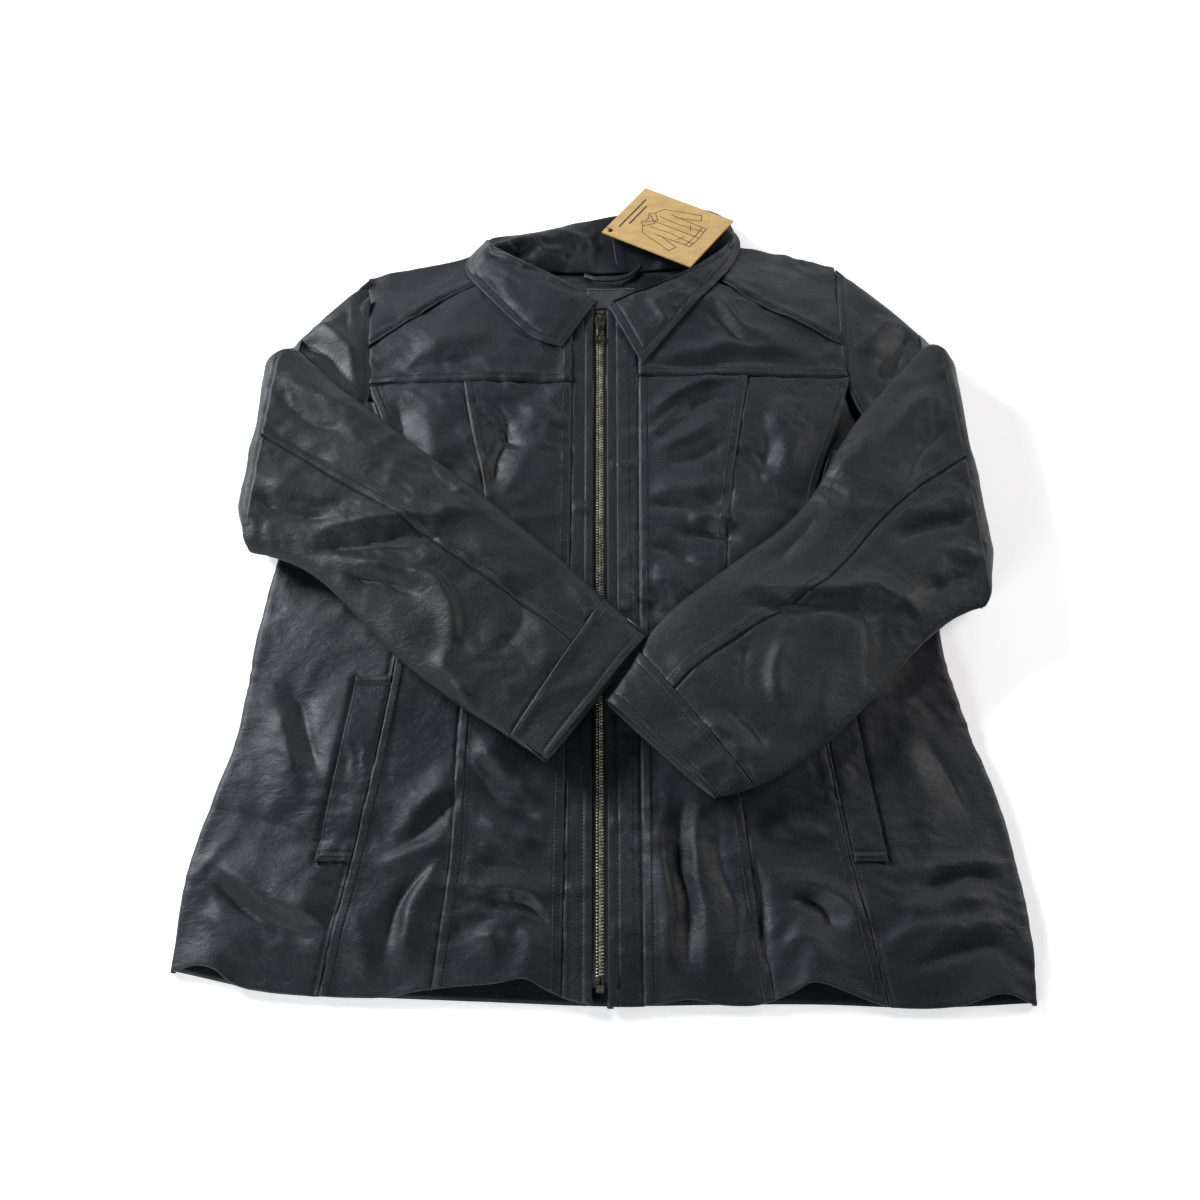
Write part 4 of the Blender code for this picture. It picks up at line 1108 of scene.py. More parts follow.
def ring_shares(count_top, count_under):
    """Shares and faces once round a tube: over the top face and back along the under one."""
    over, under = cosine_shares(count_top), cosine_shares(count_under)[::-1][1:-1]
    return (np.concatenate([over, under])[None],
            np.concatenate([np.ones(len(over)), -np.ones(len(under))])[None])


def make_cuff(sleeve, body):
    """The band at the end of the sleeve, rolled in at its open edge."""
    length = CUFF_BAND
    along = sleeve.wrist + shares_for(length, STEP * 0.7, True, True) * (1 - sleeve.wrist)
    shares, faces = ring_shares(round(150 * MM / STEP), 36)
    shares = np.broadcast_to(shares, (len(along), shares.shape[1]))
    faces = np.broadcast_to(faces, shares.shape)
    grid = sleeve.surface(along, shares, faces)
    grid = sleeve.dress(grid, along, shares, faces, ring=True)
    from_wrist = ((along - sleeve.wrist) * sleeve.length)[:, None] + 0 * shares
    relief = seam_profile(from_wrist, "lap") + seam_profile(length - from_wrist, "turned")
    grid[..., 2] += np.where(faces > 0, relief, 0)
    add_stitches(body, row_at(grid, from_wrist[:, 0], LAP_STITCH, faces[0] > 0))
    add_stitches(body, row_at(grid, from_wrist[:, 0], length - TURN_STITCH, faces[0] > 0))
    end, before = grid[-1], grid[-4]
    way = unit((end - before).mean(0) * (1, 1, 0))
    middle = end.copy()
    middle[:, 2] = end[:, 2].mean()
    inward = unit(middle - end)
    extra = [end + way * 0.7 * MM + inward * 0.5 * MM, end + way * 0.7 * MM + inward * 1.4 * MM,
             end + inward * 2.1 * MM, end - way * 9 * MM + inward * 2.4 * MM,
             end - way * 20 * MM + inward * 2.6 * MM]
    grid = np.concatenate([grid, np.array(extra)])
    sheet("cuff_leather_" + sleeve.side, grid, 0.7 * MM, SLEEVE_LEATHER, body,
          ("cuff_" + sleeve.side,), ring=True)


def row_at(grid, positions, wanted, keep):
    """The line across a grid at a position between its rows, where keep is true."""
    line = np.array([[np.interp(wanted, positions, grid[:, c, k]) for k in range(3)]
                     for c in range(grid.shape[1])])
    return line[keep]


def make_sleeve_lining(sleeve, body):
    """A cloth tube inside the folded part."""
    along = np.linspace(0.01, 0.992, 60)
    shares, faces = ring_shares(26, 20)
    shares = np.broadcast_to(shares, (len(along), shares.shape[1]))
    faces = np.broadcast_to(faces, shares.shape)
    grid = sleeve.surface(along, shares, faces, shrink=3.4 * MM, inset=7 * MM)
    x, y = grid[..., 0], grid[..., 1]
    grid[..., 2] += 0.7 * MM * noise(x, y, 22 * MM, 41)
    sheet("sleeve_lining_cloth_" + sleeve.side, grid, 0.4 * MM, LINING, body,
          ("sleeve_lining_" + sleeve.side,), ring=True)


def make_head(side):
    """The part of the sleeve between the armhole and the fold."""
    line = SLEEVES[side]
    fold = np.vstack([line["head_top"][-1], line["head_low"][-1]])
    along = shares_for(75 * MM, STEP, True, False)
    sides = {"left": line["armhole"], "right": fold, "top": line["head_top"],
             "bottom": line["head_low"]}
    over = cosine_shares(round(230 * MM / STEP))
    under = cosine_shares(40)
    pieces = []
    for shares in (over, under[::-1][1:-1]):
        pieces.append(ruled(sides, along, shares).swapaxes(0, 1))
    flat = np.concatenate(pieces, 1)
    c = np.concatenate([over, under[::-1][1:-1]])[None] + 0 * flat[..., 0]
    to_fold = np.linalg.norm(flat - flat[-1:], axis=2)
    forward = unit(flat[-1] - flat[0]).mean(0)
    width = np.linalg.norm(fold[1] - fold[0])
    flat = flat - forward * corner_draw(width, c, to_fold)[..., None]
    faces = np.where(np.arange(c.shape[1]) < len(over), 1, -1)[None] + 0 * c
    x, y = flat[..., 0], flat[..., 1]
    z = HEAD_CENTRE_Z + faces * HEAD_HALF * lens(c)
    grid = np.dstack([x, y, z])
    upper = np.clip(faces, 0, 1) * smooth(lens(c) * 1.5)
    height = fold_relief(x, y, HEAD_FOLDS[side]) * upper
    height = height + leather_wrinkles(x, y, 51) * (0.3 + 0.7 * upper)
    grid = puff(grid, height, np.dstack([x, y, np.full(x.shape, HEAD_CENTRE_Z)]), ring=True)
    distance, _, share = to_line(spaced(line["armhole"], 40), x, y)
    body_height = np.maximum(FRONT(x, y) - 1.0 * MM, 6 * MM)
    rise = smooth(distance / (17 * MM))
    top = grid[..., 2]
    grid[..., 2] = np.where(faces > 0, np.minimum(top, mix(body_height, top, rise)), top)
    relief = seam_profile(distance, "lap") + 0.5 * MM * noise(
        share * 0.24, distance, 9 * MM, 4) * np.exp(-distance / (12 * MM))
    grid[..., 2] += np.where(faces > 0, relief * smooth(lens(c) * 1.3), 0)
    grid[..., 2] = np.maximum(grid[..., 2], 0.9 * MM)
    add_stitches("jacket_body", inset_line(grid[:, 6:len(over) - 6], "top", LAP_STITCH))
    sheet("sleeve_head_leather_" + side, grid, LEATHER, SLEEVE_LEATHER, "jacket_body",
          ("sleeve_head_" + side,), ring=True)
    inner = ruled(sides, np.linspace(0.05, 0.98, 14), np.linspace(0.1, 0.9, 30))
    cloth = []
    for face in (1, -1):
        v = np.linspace(0.1, 0.9, 30)[:, None] + 0 * inner[..., 0]
        level = HEAD_CENTRE_Z + face * (HEAD_HALF * lens(v) - 5.0 * MM)
        layer = np.dstack([inner[..., 0], inner[..., 1], level])
        cloth.append(layer if face > 0 else layer[::-1])
    tube = np.concatenate([cloth[0], cloth[1][1:-1]]).swapaxes(0, 1)
    sheet("sleeve_head_lining_cloth_" + side, tube, 0.4 * MM, LINING, "jacket_body",
          ("sleeve_head_lining_" + side,), ring=True)
    return grid[-1], len(over), under


def make_elbow(side, sleeve, head_end, over_count, under):
    """The leather that turns over at the fold, outside and inside.

    head_end is the head's last ring: over_count points of its top face, then the points
    of its under face at the shares under, backwards and without their ends.
    """
    c = cosine_shares(over_count - 1)
    out = -np.append(sleeve.forward, 0.0)
    head_top = head_end[:over_count]
    back = np.vstack([head_top[:1], head_end[over_count:][::-1], head_top[-1:]])
    head_under = np.column_stack([np.interp(c, under, back[:, k]) for k in range(3)])
    along = np.array((0, 0.004))
    ends = smooth(np.minimum(c, 1 - c) / 0.16)
    for name, face, finish, bulge, span in (
            ("outer", 1, head_under, mix(1.5 * MM, ELBOW_BULGE, ends), (2 * MM, 48 * MM)),
            ("inner", -1, head_top, mix(1.5 * MM, 1.0 * MM, ends), (25 * MM, 30.5 * MM))):
        faces = np.full((2, len(c)), face)
        shares = np.broadcast_to(c, (2, len(c)))
        start = sleeve.dress(sleeve.surface(along, shares, faces), along, shares, faces)[0]
        rows = []
        for a in np.linspace(0, math.pi, 26):
            place = mix(start, finish, (1 - math.cos(a)) / 2)
            ripple = 2.2 * MM * rumple(c * 0.2, 0 * c + a * 0.014, 24 * MM, 61, 0.3, 1.8) * ends
            rows.append(place + out * ((bulge + ripple) * math.sin(a) ** 0.8)[:, None])
        piece = sheet(f"sleeve_elbow_{name}_{side}", np.array(rows), 0, SLEEVE_LEATHER, None)
        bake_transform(piece)


for jacket_side in SIDES:
    folded = make_folded_part(jacket_side)
    make_elbow(jacket_side, folded, *make_head(jacket_side))


# ---------------------------------------------------------------- inside and back


def layer_below(node, depth, name, material, thickness, least, step=CLOTH_STEP):
    """A sheet under the front that follows its folds at a depth."""
    grid = ruled_evenly(sides_of(node), step)
    x, y = grid[..., 0], grid[..., 1]
    soft = 0.5 * MM * noise(x, y, 26 * MM, 71)
    grid[..., 2] = np.maximum(body_z(x, y) - depth - np.abs(soft), least)
    sheet(name, shift_hem(grid), thickness, material, "jacket_body", (node,))


def back_lining_z(x, y):
    """Height of the back's lining, which lies in folds near the neck."""
    near_neck = smooth((y - 235 * MM) / (40 * MM))
    return 2.6 * MM + near_neck * 3.4 * MM * np.abs(rumple(x, y, 26 * MM, 83, 0.5, 1.6))


def make_back():
    """The back panel, the yoke with its lapped seam, and the lining seen at the neck."""
    for node, grown, styles in (("back_panel", {"bottom": 0.0}, {"top": "under"}),
                                ("back_yoke", {"top": 12 * MM, "bottom": SEAM_GAP / 2},
                                 {"bottom": "lap"})):
        sides = sides_of(node)
        grid = grow(fill(sides, 1.4 * STEP, list(styles)), grown)
        x, y = grid[..., 0], grid[..., 1]
        relief = 0.5 * MM * np.abs(rumple(x, y, 34 * MM, 81, 0.4, 2.0))
        relief = relief + 0.6 * seam_relief(grid, sides, styles)
        inner = smooth(np.minimum(x - x.min(1, keepdims=True), x.max(1, keepdims=True) - x)
                       / (25 * MM))
        grid[..., 2] = 1.25 * MM + np.maximum(relief * inner, 0)
        sheet("leather_" + node, grid, 1.05 * MM, BODY_LEATHER, "jacket_body",
              (node,))
    sides = sides_of("lining_back")
    grid = grow(ruled_evenly(sides, CLOTH_STEP), {"top": 14 * MM})
    grid[..., 2] = back_lining_z(grid[..., 0], grid[..., 1])
    sheet("lining_back_cloth", grid, 0.4 * MM, LINING, "jacket_body",
          ("lining_back",))


for jacket_side in SIDES:
    layer_below(f"facing_{jacket_side}", 2.4 * MM, f"facing_leather_{jacket_side}",
                BODY_LEATHER, 0.9 * MM, 3.4 * MM, 4 * MM)
    layer_below(f"lining_front_{jacket_side}", 3.9 * MM, f"lining_front_cloth_{jacket_side}",
                LINING, 0.4 * MM, 3.5 * MM)
    layer_below(f"pocket_bag_{jacket_side}", 2.6 * MM, f"pocket_bag_cloth_{jacket_side}",
                LINING, 0.4 * MM, 4.2 * MM)
make_back()


# ---------------------------------------------------------------- pockets

END_BAR = 6.5 * MM


def make_welt(side):
    """The stitched welt of a slanted pocket, a little proud of the panel at the mouth."""
    node = "pocket_welt_" + side
    sides = sides_of(node)
    edges = ("left", "right", "top", "bottom")
    grid = fill(sides, STEP * 0.8, edges)
    x, y = grid[..., 0], grid[..., 1]
    near = np.min([to_line(spaced(sides[k], 12), x, y)[0] for k in edges], axis=0)
    to_end = np.min([to_line(sides[k], x, y)[0] for k in ("top", "bottom")], axis=0)
    crown = 0.5 * MM * smooth(near / (4 * MM))
    bar = 1.2 * MM * smooth((END_BAR - to_end) / (1.2 * MM))
    bar = bar - 0.8 * MM * np.exp(-((to_end - END_BAR - 0.6 * MM) / (0.9 * MM)) ** 2)
    to_mouth = to_line(spaced(sides[side], 12), x, y)[0]
    gape = 1.4 * MM * np.exp(-to_mouth / (5 * MM))
    grid[..., 2] = body_z(x, y) + 0.5 * MM + crown + gape + bar
    grid[..., 2] += mouth_dip(POCKET_MOUTHS[list(SIDES).index(side)], x, y)
    for k in ("top", "bottom"):
        add_stitches("jacket_body", inset_line(grid, k, END_BAR / 2)[3:-3], 0.2 * MM)
    for k in edges:
        grid = turn_under(grid, k, 0.8 * MM, 2 * MM)
    sheet("pocket_welt_leather_" + side, grid, 0.7 * MM, BODY_LEATHER, "jacket_body",
          (node,))


for jacket_side in SIDES:
    make_welt(jacket_side)


# ---------------------------------------------------------------- collar

COLLAR = {
    "left": {
        "roll": mm((-4, 292, 31), (-34, 311, 32), (-72, 333, 32), (-99, 353, 28),
                   (-96, 374, 13)),
        "edge": mm((-34, 243, 30), (-58, 252, 29.5), (-90, 286, 26), (-116, 321, 20),
                   (-121, 347, 13), (-104, 377, 7)),
    },
    "right": {
        "roll": mm((8, 287, 31), (40, 300, 32), (80, 320, 32), (111, 343, 28),
                   (116, 370, 16), (106, 394, 10)),
        "edge": mm((37, 226, 30), (72, 272, 29.5), (107, 317, 25), (124, 350, 17),
                   (128, 376, 9), (115, 399, 6)),
    },
}
COLLAR_FOLDS = {
    "left": [
        (((-40, 262), (-62, 280), (-96, 318)), 1.2, 12, 0.0),
        (((-96, 352), (-112, 340), (-112, 322)), 1.8, 7, 0.0),
        (((-50, 300), (-66, 300), (-84, 316)), -1.0, 9, 0.0),
    ],
    "right": [
        (((40, 296), (54, 286), (60, 268), (52, 256)), 2.2, 7, 0.3),
        (((28, 284), (42, 276), (46, 258)), -1.8, 7, 0.0),
        (((96, 336), (104, 318), (90, 300)), 1.8, 9, 0.0),
        (((72, 318), (82, 304), (76, 288)), -1.6, 8, 0.0),
    ],
}
NECK_SEAM = mm((-9, 288, 25), (-58, 309, 23), (-94, 326, 18), (-100, 344, 8), (-60, 342, 3.4),
               (0, 340, 3.2), (62, 345, 3.4), (110, 345, 8), (103, 325, 18), (64, 309, 23),
               (9, 289, 25))
ROLL_LINE = mm((-7, 293, 29.5), (-34, 314, 30), (-77, 339, 30), (-101, 366, 19),
               (-60, 380, 11), (-8, 395, 10), (60, 409, 10), (108, 402, 12), (120, 369, 19),
               (82, 327, 30), (11, 291, 29.5))


STITCHED_SHARE = 0.72                             # of a leaf's outer edge, from its point
TAG_SPAN = (-14 * MM, 62 * MM)                    # where the tag lies over the stand
TAG_HOLLOW = -2 * MM                              # of the stand, so that the tag lifts freely


def make_leaf(side):
    """A collar leaf, turned at its free edges, that bends up from the back of the neck."""
    line = COLLAR[side]
    front = np.array((line["roll"][0], line["edge"][0]))
    back = np.array((line["roll"][-1], line["edge"][-1]))
    sides = {"left": front, "right": back, "top": line["roll"], "bottom": line["edge"]}
    grid = fill(sides, STEP * 0.8, ("left", "bottom"))
    x, y = grid[..., 0], grid[..., 1]
    edge_distance = to_line(spaced(line["edge"], 40), x, y)[0]
    front_distance = to_line(front, x, y)[0]
    roll_distance = to_line(spaced(line["roll"], 40), x, y)[0]
    near = np.minimum(edge_distance, front_distance)
    back_share = np.linspace(0, 1, grid.shape[1])[None] + 0 * x
    floor = np.maximum(body_z(x, y), 1 * MM) + 2.6 * MM
    keep_off = smooth((0.86 - back_share) / 0.1)
    lift = 1.6 * MM * smooth(roll_distance / (16 * MM)) * smooth(near / (18 * MM))
    z = grid[..., 2] + lift - 3.2 * MM * np.exp(-roll_distance / (5 * MM))
    z = z + fold_relief(x, y, COLLAR_FOLDS[side]) * smooth(near / (10 * MM))
    z = z + leather_wrinkles(x, y, 91) * 0.45 * smooth(near / (9 * MM))
    z = np.where(keep_off > 0, np.maximum(z, mix(z, floor, keep_off)), z)
    grid[..., 2] = z + seam_profile(near, "turned")
    body = "collar_" + side
    free = round(grid.shape[1] * STITCHED_SHARE)
    add_stitches(body, inset_line(grid, "bottom", TURN_STITCH)[8:free])
    add_stitches(body, inset_line(grid, "left", TURN_STITCH)[3:-8])
    for name, radius in (("bottom", 1.3 * MM), ("left", 1.3 * MM), ("top", 1.6 * MM)):
        grid = turn_under(grid, name, radius, 4 * MM)
    piece = sheet("collar_leaf_leather_" + side, grid, 0.9 * MM, BODY_LEATHER, None,
                  ("collar_leaf_" + side,))
    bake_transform(piece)


def make_stand():
    """The stand round the neck with its wrinkled inner face, and the fall behind it."""
    low, high = spaced(NECK_SEAM, 190), spaced(ROLL_LINE, 190)
    v = np.linspace(0, 1, 22)[:, None, None]
    grid = mix(high[None], low[None], v)
    x, y = grid[..., 0], grid[..., 1]
    rear = smooth((y - 318 * MM) / (34 * MM))
    middle = np.sin(math.pi * v[..., 0]) ** 0.7
    clear_of_tag = smooth((-10 * MM - x) / (30 * MM))
    folds = (mix(4.5, 7.5, clear_of_tag) * MM * rumple(x, y, 27 * MM, 95, 0.35, 1.9)
             + mix(1.4, 2.4, clear_of_tag) * MM * rumple(x, y, 11 * MM, 96, -0.4, 1.6))
    under_tag = smooth((x - TAG_SPAN[0]) / (12 * MM)) * smooth((TAG_SPAN[1] - x) / (14 * MM))
    folds = mix(folds, TAG_HOLLOW, under_tag)
    grid[..., 2] += middle * rear * folds + 0.3 * middle * folds
    grid[..., 2] = np.maximum(grid[..., 2], 2.6 * MM)
    add_stitches("jacket_body", inset_line(grid, "bottom", 3 * MM)[3:-3], 0.2 * MM)
    grid = turn_under(grid, "top", 1.2 * MM, 2 * MM)
    sheet("collar_stand_leather", grid, 0.9 * MM, BODY_LEATHER, "jacket_body",
          ("collar_stand",))

    share = np.linspace(0.25, 0.80, 100)
    roll = spaced(ROLL_LINE, share)
    out = unit(np.column_stack([np.gradient(roll[:, 1]), -np.gradient(roll[:, 0]),
                                0 * roll[:, 0]]))
    out = out * np.sign(out[len(out) // 2, 1])
    rows = []
    for t in np.linspace(0, 1, 12):
        a = math.pi * (0.15 + 0.85 * t)
        half = (roll[:, 2] - 1.3 * MM) / 2
        level = 1.3 * MM + half + half * math.cos(a)
        rows.append(np.column_stack([roll[:, :2] + out[:, :2] * 4 * MM * math.sin(a), level]))
    for t in np.linspace(0.1, 1, 10):
        inner = mix(roll[:, :2], np.column_stack([roll[:, 0] * 0.96, 0 * roll[:, 1] + 0.318]), t)
        rows.append(np.column_stack([inner, 0 * roll[:, 0] + 1.3 * MM]))
    grid = np.array(rows)
    x, y = grid[..., 0], grid[..., 1]
    grid[:12] += out[None] * (0.9 * MM * noise(x, y, 17 * MM, 98))[:12, :, None]
    sheet("collar_back_fall_leather", grid, 1.0 * MM, BODY_LEATHER, "jacket_body",
          ("collar_back_fall",))


def round_cord(name, points, radius, material, body, replaced, twist=0.0, flatten=1.0):
    """A cord along the points, with closed ends."""
    segments = 8
    points = np.asarray(points)
    tangent = unit(np.gradient(points, axis=0))
    side = unit(np.cross(tangent, (0.0, 0.0, 1.0)) + 1e-9)
    up = np.cross(side, tangent)
    rows = []
    for k, place in enumerate(points):
        ring = []
        for n in range(segments):
            a = 2 * math.pi * n / segments
            swell = 1 + 0.18 * math.cos(3 * (a + twist * k))
            ring.append(place + radius * swell * (side[k] * math.cos(a)
                                                  + up[k] * math.sin(a) * flatten))
        rows.append(ring)
    vertices = [p for ring in rows for p in ring]
    faces = grid_faces(len(rows), segments, True)
    faces.append(tuple(range(segments)))
    faces.append(tuple(range(len(vertices) - segments, len(vertices)))[::-1])
    return new_piece(name, vertices, faces, material, body, replaced)


def make_neck_fittings():
    """The hanger loop and the blank woven label."""
    loop = mm((-14, 338, 4.5), (-2, 331, 8), (14, 330, 9), (28, 336, 8.5), (38, 346, 7.5))
    round_cord("hanger_loop_leather", spaced(loop, 40), 2.2 * MM, BODY_LEATHER,
               "jacket_body", ("hanger_loop",), flatten=0.5)
    low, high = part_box("neck_label")
    u = np.linspace(0, 1, 22)[None, :]
    v = np.linspace(1, 0, 14)[:, None]
    x, y = mix(low.x, high.x, u) + 0 * v, mix(low.y, high.y, v) + 0 * u
    z = back_lining_z(x, y) + 1.2 * MM
    sheet("neck_label_cloth", np.dstack([x, y, z]), 0.35 * MM, LABEL, "jacket_body",
          ("neck_label",))
    border = inset_line(np.dstack([x, y, z]), "top", 1.6 * MM)
    add_stitches("jacket_body", border, 0.1 * MM, 2.2 * MM)


for jacket_side in SIDES:
    make_leaf(jacket_side)
make_stand()
make_neck_fittings()


# ---------------------------------------------------------------- zip

ZIP_AXIS = -np.array(next(j for j in frame["joints"] if j["name"] == "zip_slide")["axis"])
TOOTH_PITCH = 2.54 * MM


def zip_place(x, along, height=0.0):
    """A point of the zip's plane; along runs up the chain from the lowest tooth."""
    low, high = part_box("zip_teeth_left")
    foot = np.array((0.0, low.y, low.z + (high.x - low.x) * 0.45))
    normal = np.cross((1.0, 0, 0), ZIP_AXIS)
    return foot + np.array((x, 0, 0)) + ZIP_AXIS * along + normal * height


def make_teeth(side):
    """Cast teeth along one edge of the chain, each with a narrow neck and a rounded head."""
    sign = SIDES[side]
    low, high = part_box("zip_teeth_" + side)
    length = (high.y - low.y) / ZIP_AXIS[1]
    vertices, faces = [], []
    start = (0.75 if side == "left" else 2.0) * MM
    sections = ((-0.9, 0.30, 0.5), (-0.5, 0.52, 0.9), (0.3, 0.46, 1.0), (1.2, 0.46, 1.0),
                (1.6, 0.64, 1.15), (2.75, 0.64, 1.15), (2.95, 0.45, 0.8))
    for along in np.arange(start, length - 0.8 * MM, TOOTH_PITCH):
        base = len(vertices)
        for out, half_long, half_high in sections:
            for a, h in ((-1, -0.6), (-0.6, -1), (0.6, -1), (1, -0.6), (1, 0.6), (0.6, 1),
                         (-0.6, 1), (-1, 0.6)):
                vertices.append(zip_place(sign * out * MM, along + a * half_long * MM,
                                          h * half_high * MM))
        for r in range(len(sections) - 1):
            for k in range(8):
                a, b = base + 8 * r + k, base + 8 * r + (k + 1) % 8
                face = (a, b, b + 8, a + 8)
                faces.append(face if sign < 0 else face[::-1])
        ends = [tuple(base + k for k in range(8)),
                tuple(base + 8 * (len(sections) - 1) + k for k in range(8))]
        faces.append(ends[0][::-1] if sign < 0 else ends[0])
        faces.append(ends[1] if sign < 0 else ends[1][::-1])
    new_piece("zip_teeth_metal_" + side, vertices, faces, BRASS, "jacket_body",
              ("zip_teeth_" + side,))


def make_tape(side):
    """A woven tape with a corded edge beside the teeth."""
    sign = SIDES[side]
    low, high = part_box("zip_tape_" + side)
    length = (high.y - low.y) / ZIP_AXIS[1]
    start = zip_place(0, 0)[1] - low.y
    outs = np.array((0.8, 1.2, 1.8, 2.6, 3.4, 3.9, 4.4, 6, 8, 10, 12, 14.2)) * MM
    lifts = np.array((0, 0.55, 0.8, 0.8, 0.45, 0.1, 0, 0, 0, 0, 0, 0)) * MM
    rows = []
    for along in np.arange(length, 0, -5 * MM):
        rows.append([zip_place(sign * o, along - start, h + 0.1 * MM)
                     for o, h in zip(outs, lifts)])
    sheet("zip_tape_cloth_" + side, np.array(rows), 0.45 * MM, TAPE, "jacket_body",
          ("zip_tape_" + side,))


def keep_part(node, material, width, segments):
    """Keep a CAD part, with softened edges and a material."""
    part = NODES[node]
    part.data.materials.clear()
    part.data.materials.append(material)
    bevel = part.modifiers.new("soft_edges", "BEVEL")
    bevel.width = width
    bevel.segments = segments
    bevel.limit_method = "ANGLE"


def keep_metal(node, metal):
    """Keep a CAD metal part, with flat faces."""
    keep_part(node, metal, 0.25 * MM, 3)
    faces = NODES[node].data.polygons
    faces.foreach_set("use_smooth", [False] * len(faces))


for jacket_side in SIDES:
    make_teeth(jacket_side)
    make_tape(jacket_side)
for metal_node in ("zip_slider", "zip_pull_link", "zip_pull_ring"):
    keep_metal(metal_node, BRONZE)
for metal_node in ("zip_box", "zip_pin", "zip_top_stop_left", "zip_top_stop_right"):
    keep_metal(metal_node, BRASS)


# ---------------------------------------------------------------- hang tag


def tag_frame():
    """The front leaf's corner and its directions along, across and up."""
    top = rim("tag_front_leaf", 0.5)
    flat = top[:, :2]
    first = top[np.argmin(flat[:, 0])]
    last = top[np.argmin(flat[:, 1])]
    along = unit(last - first)
    far = top[np.argmax(flat[:, 1])]
    across = far - first
    across = unit(across - along * (across @ along))
    return first, along, across, np.cross(along, across)


def make_drawing():
    """The card's print: a plain outline of a jacket and two rules where a title would be.

    Points are millimetres across and down the card, whose title runs along its short edge.
    """
    corner, along, across, up = tag_frame()
    centre, larger = 36, 1.15
    half_sketch = [
        ((5, 23), (0, 29), (-2, 32), (-9, 25), (-6, 21), (0, 24)),
        ((-9, 25), (-16, 29), (-24, 60), (-18, 63), (-12, 43)),
        ((-13, 38), (-12, 72), (0, 73)),
        ((-7, 31), (-6, 48), (-8, 72)),
        ((-10, 58), (-4, 62)),
        ((-12, 68), (0, 69)),
    ]
    sketch = [((centre, 29 * larger), (centre, 73 * larger))]
    for points in half_sketch:
        for mirror in (-larger, larger):
            sketch.append([(centre - mirror * p[0], larger * p[1]) for p in points])
    rules = [((14, 10), (58, 10)), ((22, 16), (50, 16))]
    vertices, faces = [], []
    for lines, half in ((sketch, 0.30), (rules, 0.8)):
        for points in lines:
            points = mm(*[(p[1], p[0]) for p in points])
            for a, b in zip(points, points[1:]):
                way = unit(b - a)
                side = np.array((-way[1], way[0])) * half * MM
                a, b = a - way * 0.2 * MM, b + way * 0.2 * MM
                base = len(vertices)
                for height in (0.02, 0.10):
                    for q in (a - side, b - side, b + side, a + side):
                        vertices.append(corner + along * q[0] + across * q[1]
                                        + up * height * MM)
                for face in ((3, 2, 1, 0), (4, 5, 6, 7), (0, 1, 5, 4), (1, 2, 6, 5),
                             (2, 3, 7, 6), (3, 0, 4, 7)):
                    faces.append(tuple(base + k for k in face))
    new_piece("tag_print", vertices, faces, INK, "tag_front")


for card_node in ("tag_back_leaf", "tag_front_leaf"):
    keep_part(card_node, CARD, 0.15 * MM, 2)
make_drawing()
string_low, string_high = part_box("tag_string")
tag_corner, tag_along, tag_across, tag_up = tag_frame()
hole = tag_corner + (tag_along + tag_across) * 6 * MM
string_points = np.vstack([hole - tag_along * 5 * MM + tag_up * 1.2 * MM,
                           hole + tag_up * 1.6 * MM, hole - tag_up * 3 * MM,
                           hole + mm((2, -7, -4))[0],
                           (string_high.x - 1 * MM, string_low.y + 1 * MM,
                            string_low.z + 0.5 * MM)])
round_cord("tag_string_thread", spaced(string_points, 60), 0.45 * MM, STRING, "jacket_body",
           ("tag_string",), twist=0.5)


# ---------------------------------------------------------------- stage


def area_light(name, place, target, size, power, colour):
    """A rectangular lamp at a place, turned to a target."""
    data = bpy.data.lights.new(name, "AREA")
    data.shape = "RECTANGLE"
    data.size, data.size_y = size
    data.energy = power
    data.color = colour
    lamp = bpy.data.objects.new(name, data)
    lamp.location = place
    lamp.rotation_euler = (Vector(target) - Vector(place)).to_track_quat("-Z", "Y").to_euler()
    bpy.context.scene.collection.objects.link(lamp)


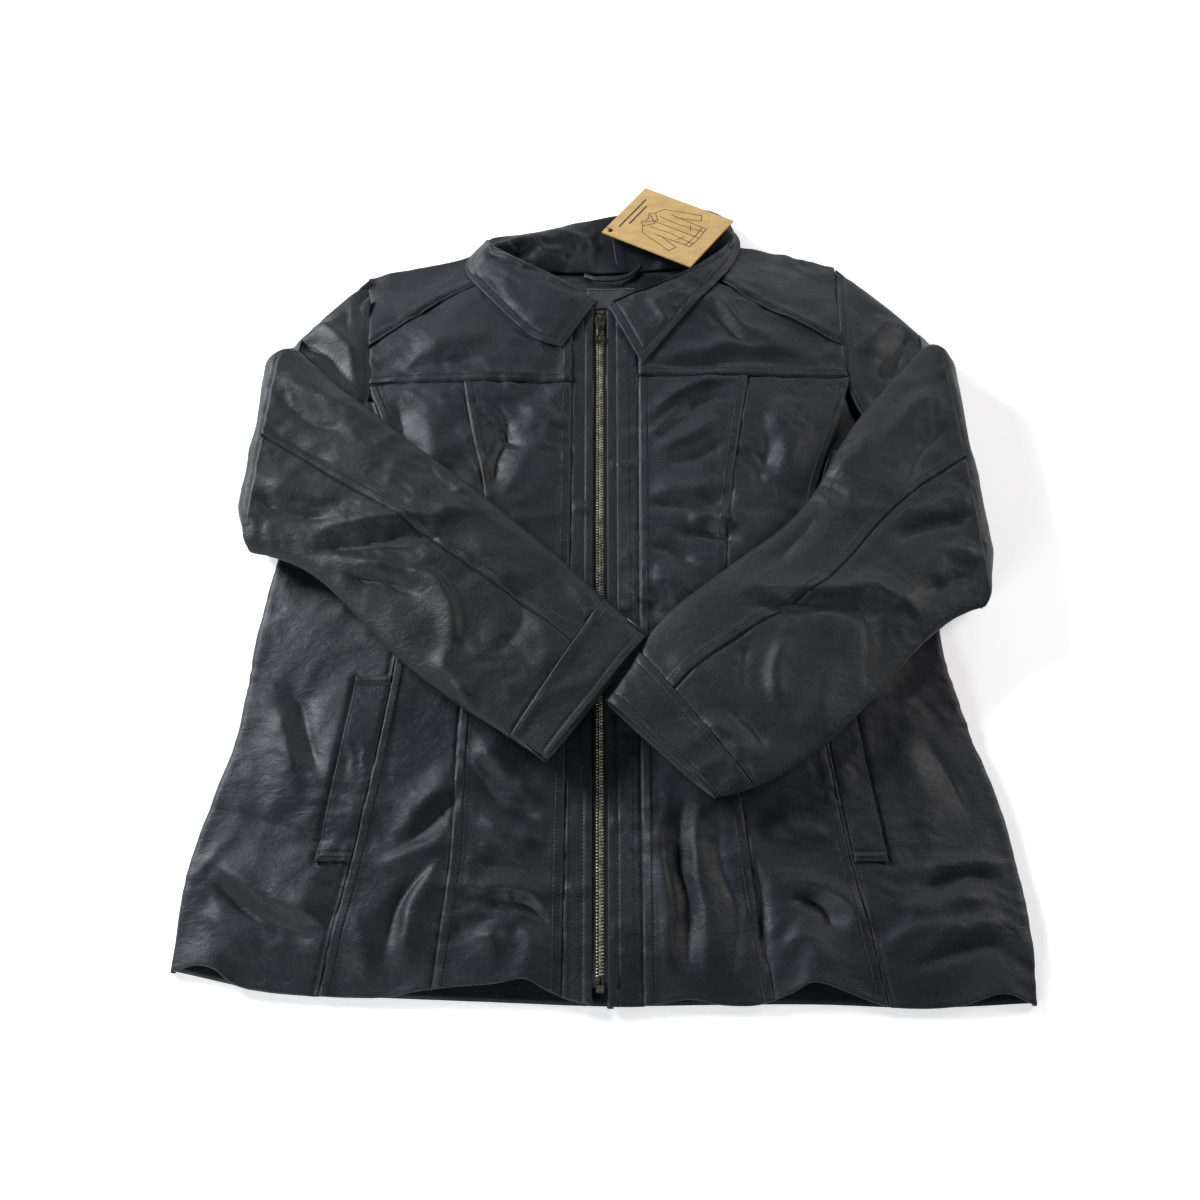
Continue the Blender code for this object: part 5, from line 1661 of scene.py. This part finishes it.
def make_stage():
    """A pale floor, soft lights and the camera."""
    material, _, shader = node_material("floor")
    shader.inputs["Base Color"].default_value = (0.93, 0.93, 0.93, 1)
    shader.inputs["Roughness"].default_value = 0.9
    shader.inputs["Emission Color"].default_value = (1, 1, 1, 1)
    shader.inputs["Emission Strength"].default_value = 0.52
    mesh = bpy.data.meshes.new("floor")
    half = 6
    mesh.from_pydata([(-half, -half, 0), (half, -half, 0), (half, half, 0), (-half, half, 0)],
                     [], [(0, 1, 2, 3)])
    mesh.materials.append(material)
    floor = bpy.data.objects.new("floor", mesh)
    floor.location.z = -0.3 * MM
    bpy.context.scene.collection.objects.link(floor)

    world = bpy.data.worlds.new("studio")
    bpy.context.scene.world = world
    world.use_nodes = True
    background = world.node_tree.nodes["Background"]
    background.inputs["Color"].default_value = (0.93, 0.96, 1.0, 1)
    background.inputs["Strength"].default_value = 0.075
    area_light("key", (-1.8, 1.1, 1.1), (-0.05, -0.1, 0), (0.7, 0.6), 68, (0.90, 0.96, 1.0))
    area_light("side", (1.8, 0.7, 1.0), (0, 0, 0), (0.6, 0.8), 17, (1.0, 0.95, 0.92))
    area_light("front", (-1.0, -1.6, 0.9), (-0.1, -0.2, 0), (0.7, 0.4), 16, (0.95, 0.98, 1.0))
    area_light("back", (0.5, 2.1, 0.9), (0, -0.1, 0), (1.4, 0.4), 9, (0.93, 0.97, 1.0))

    distance, elevation = 1.278, math.radians(64.4)
    sensor, width_over_focal = 36, 1200 / 1566
    target = Vector((0, 0, 20 * MM))
    camera_data = bpy.data.cameras.new("camera")
    camera_data.sensor_width = sensor
    camera_data.lens = sensor / width_over_focal
    camera = bpy.data.objects.new("camera", camera_data)
    camera.location = target + distance * Vector((0, -math.cos(elevation),
                                                  math.sin(elevation)))
    camera.rotation_euler = (math.pi / 2 - elevation, 0, 0)
    bpy.context.scene.collection.objects.link(camera)
    bpy.context.scene.camera = camera
    bpy.context.scene.view_settings.view_transform = "Standard"


make_stitches()
make_stage()
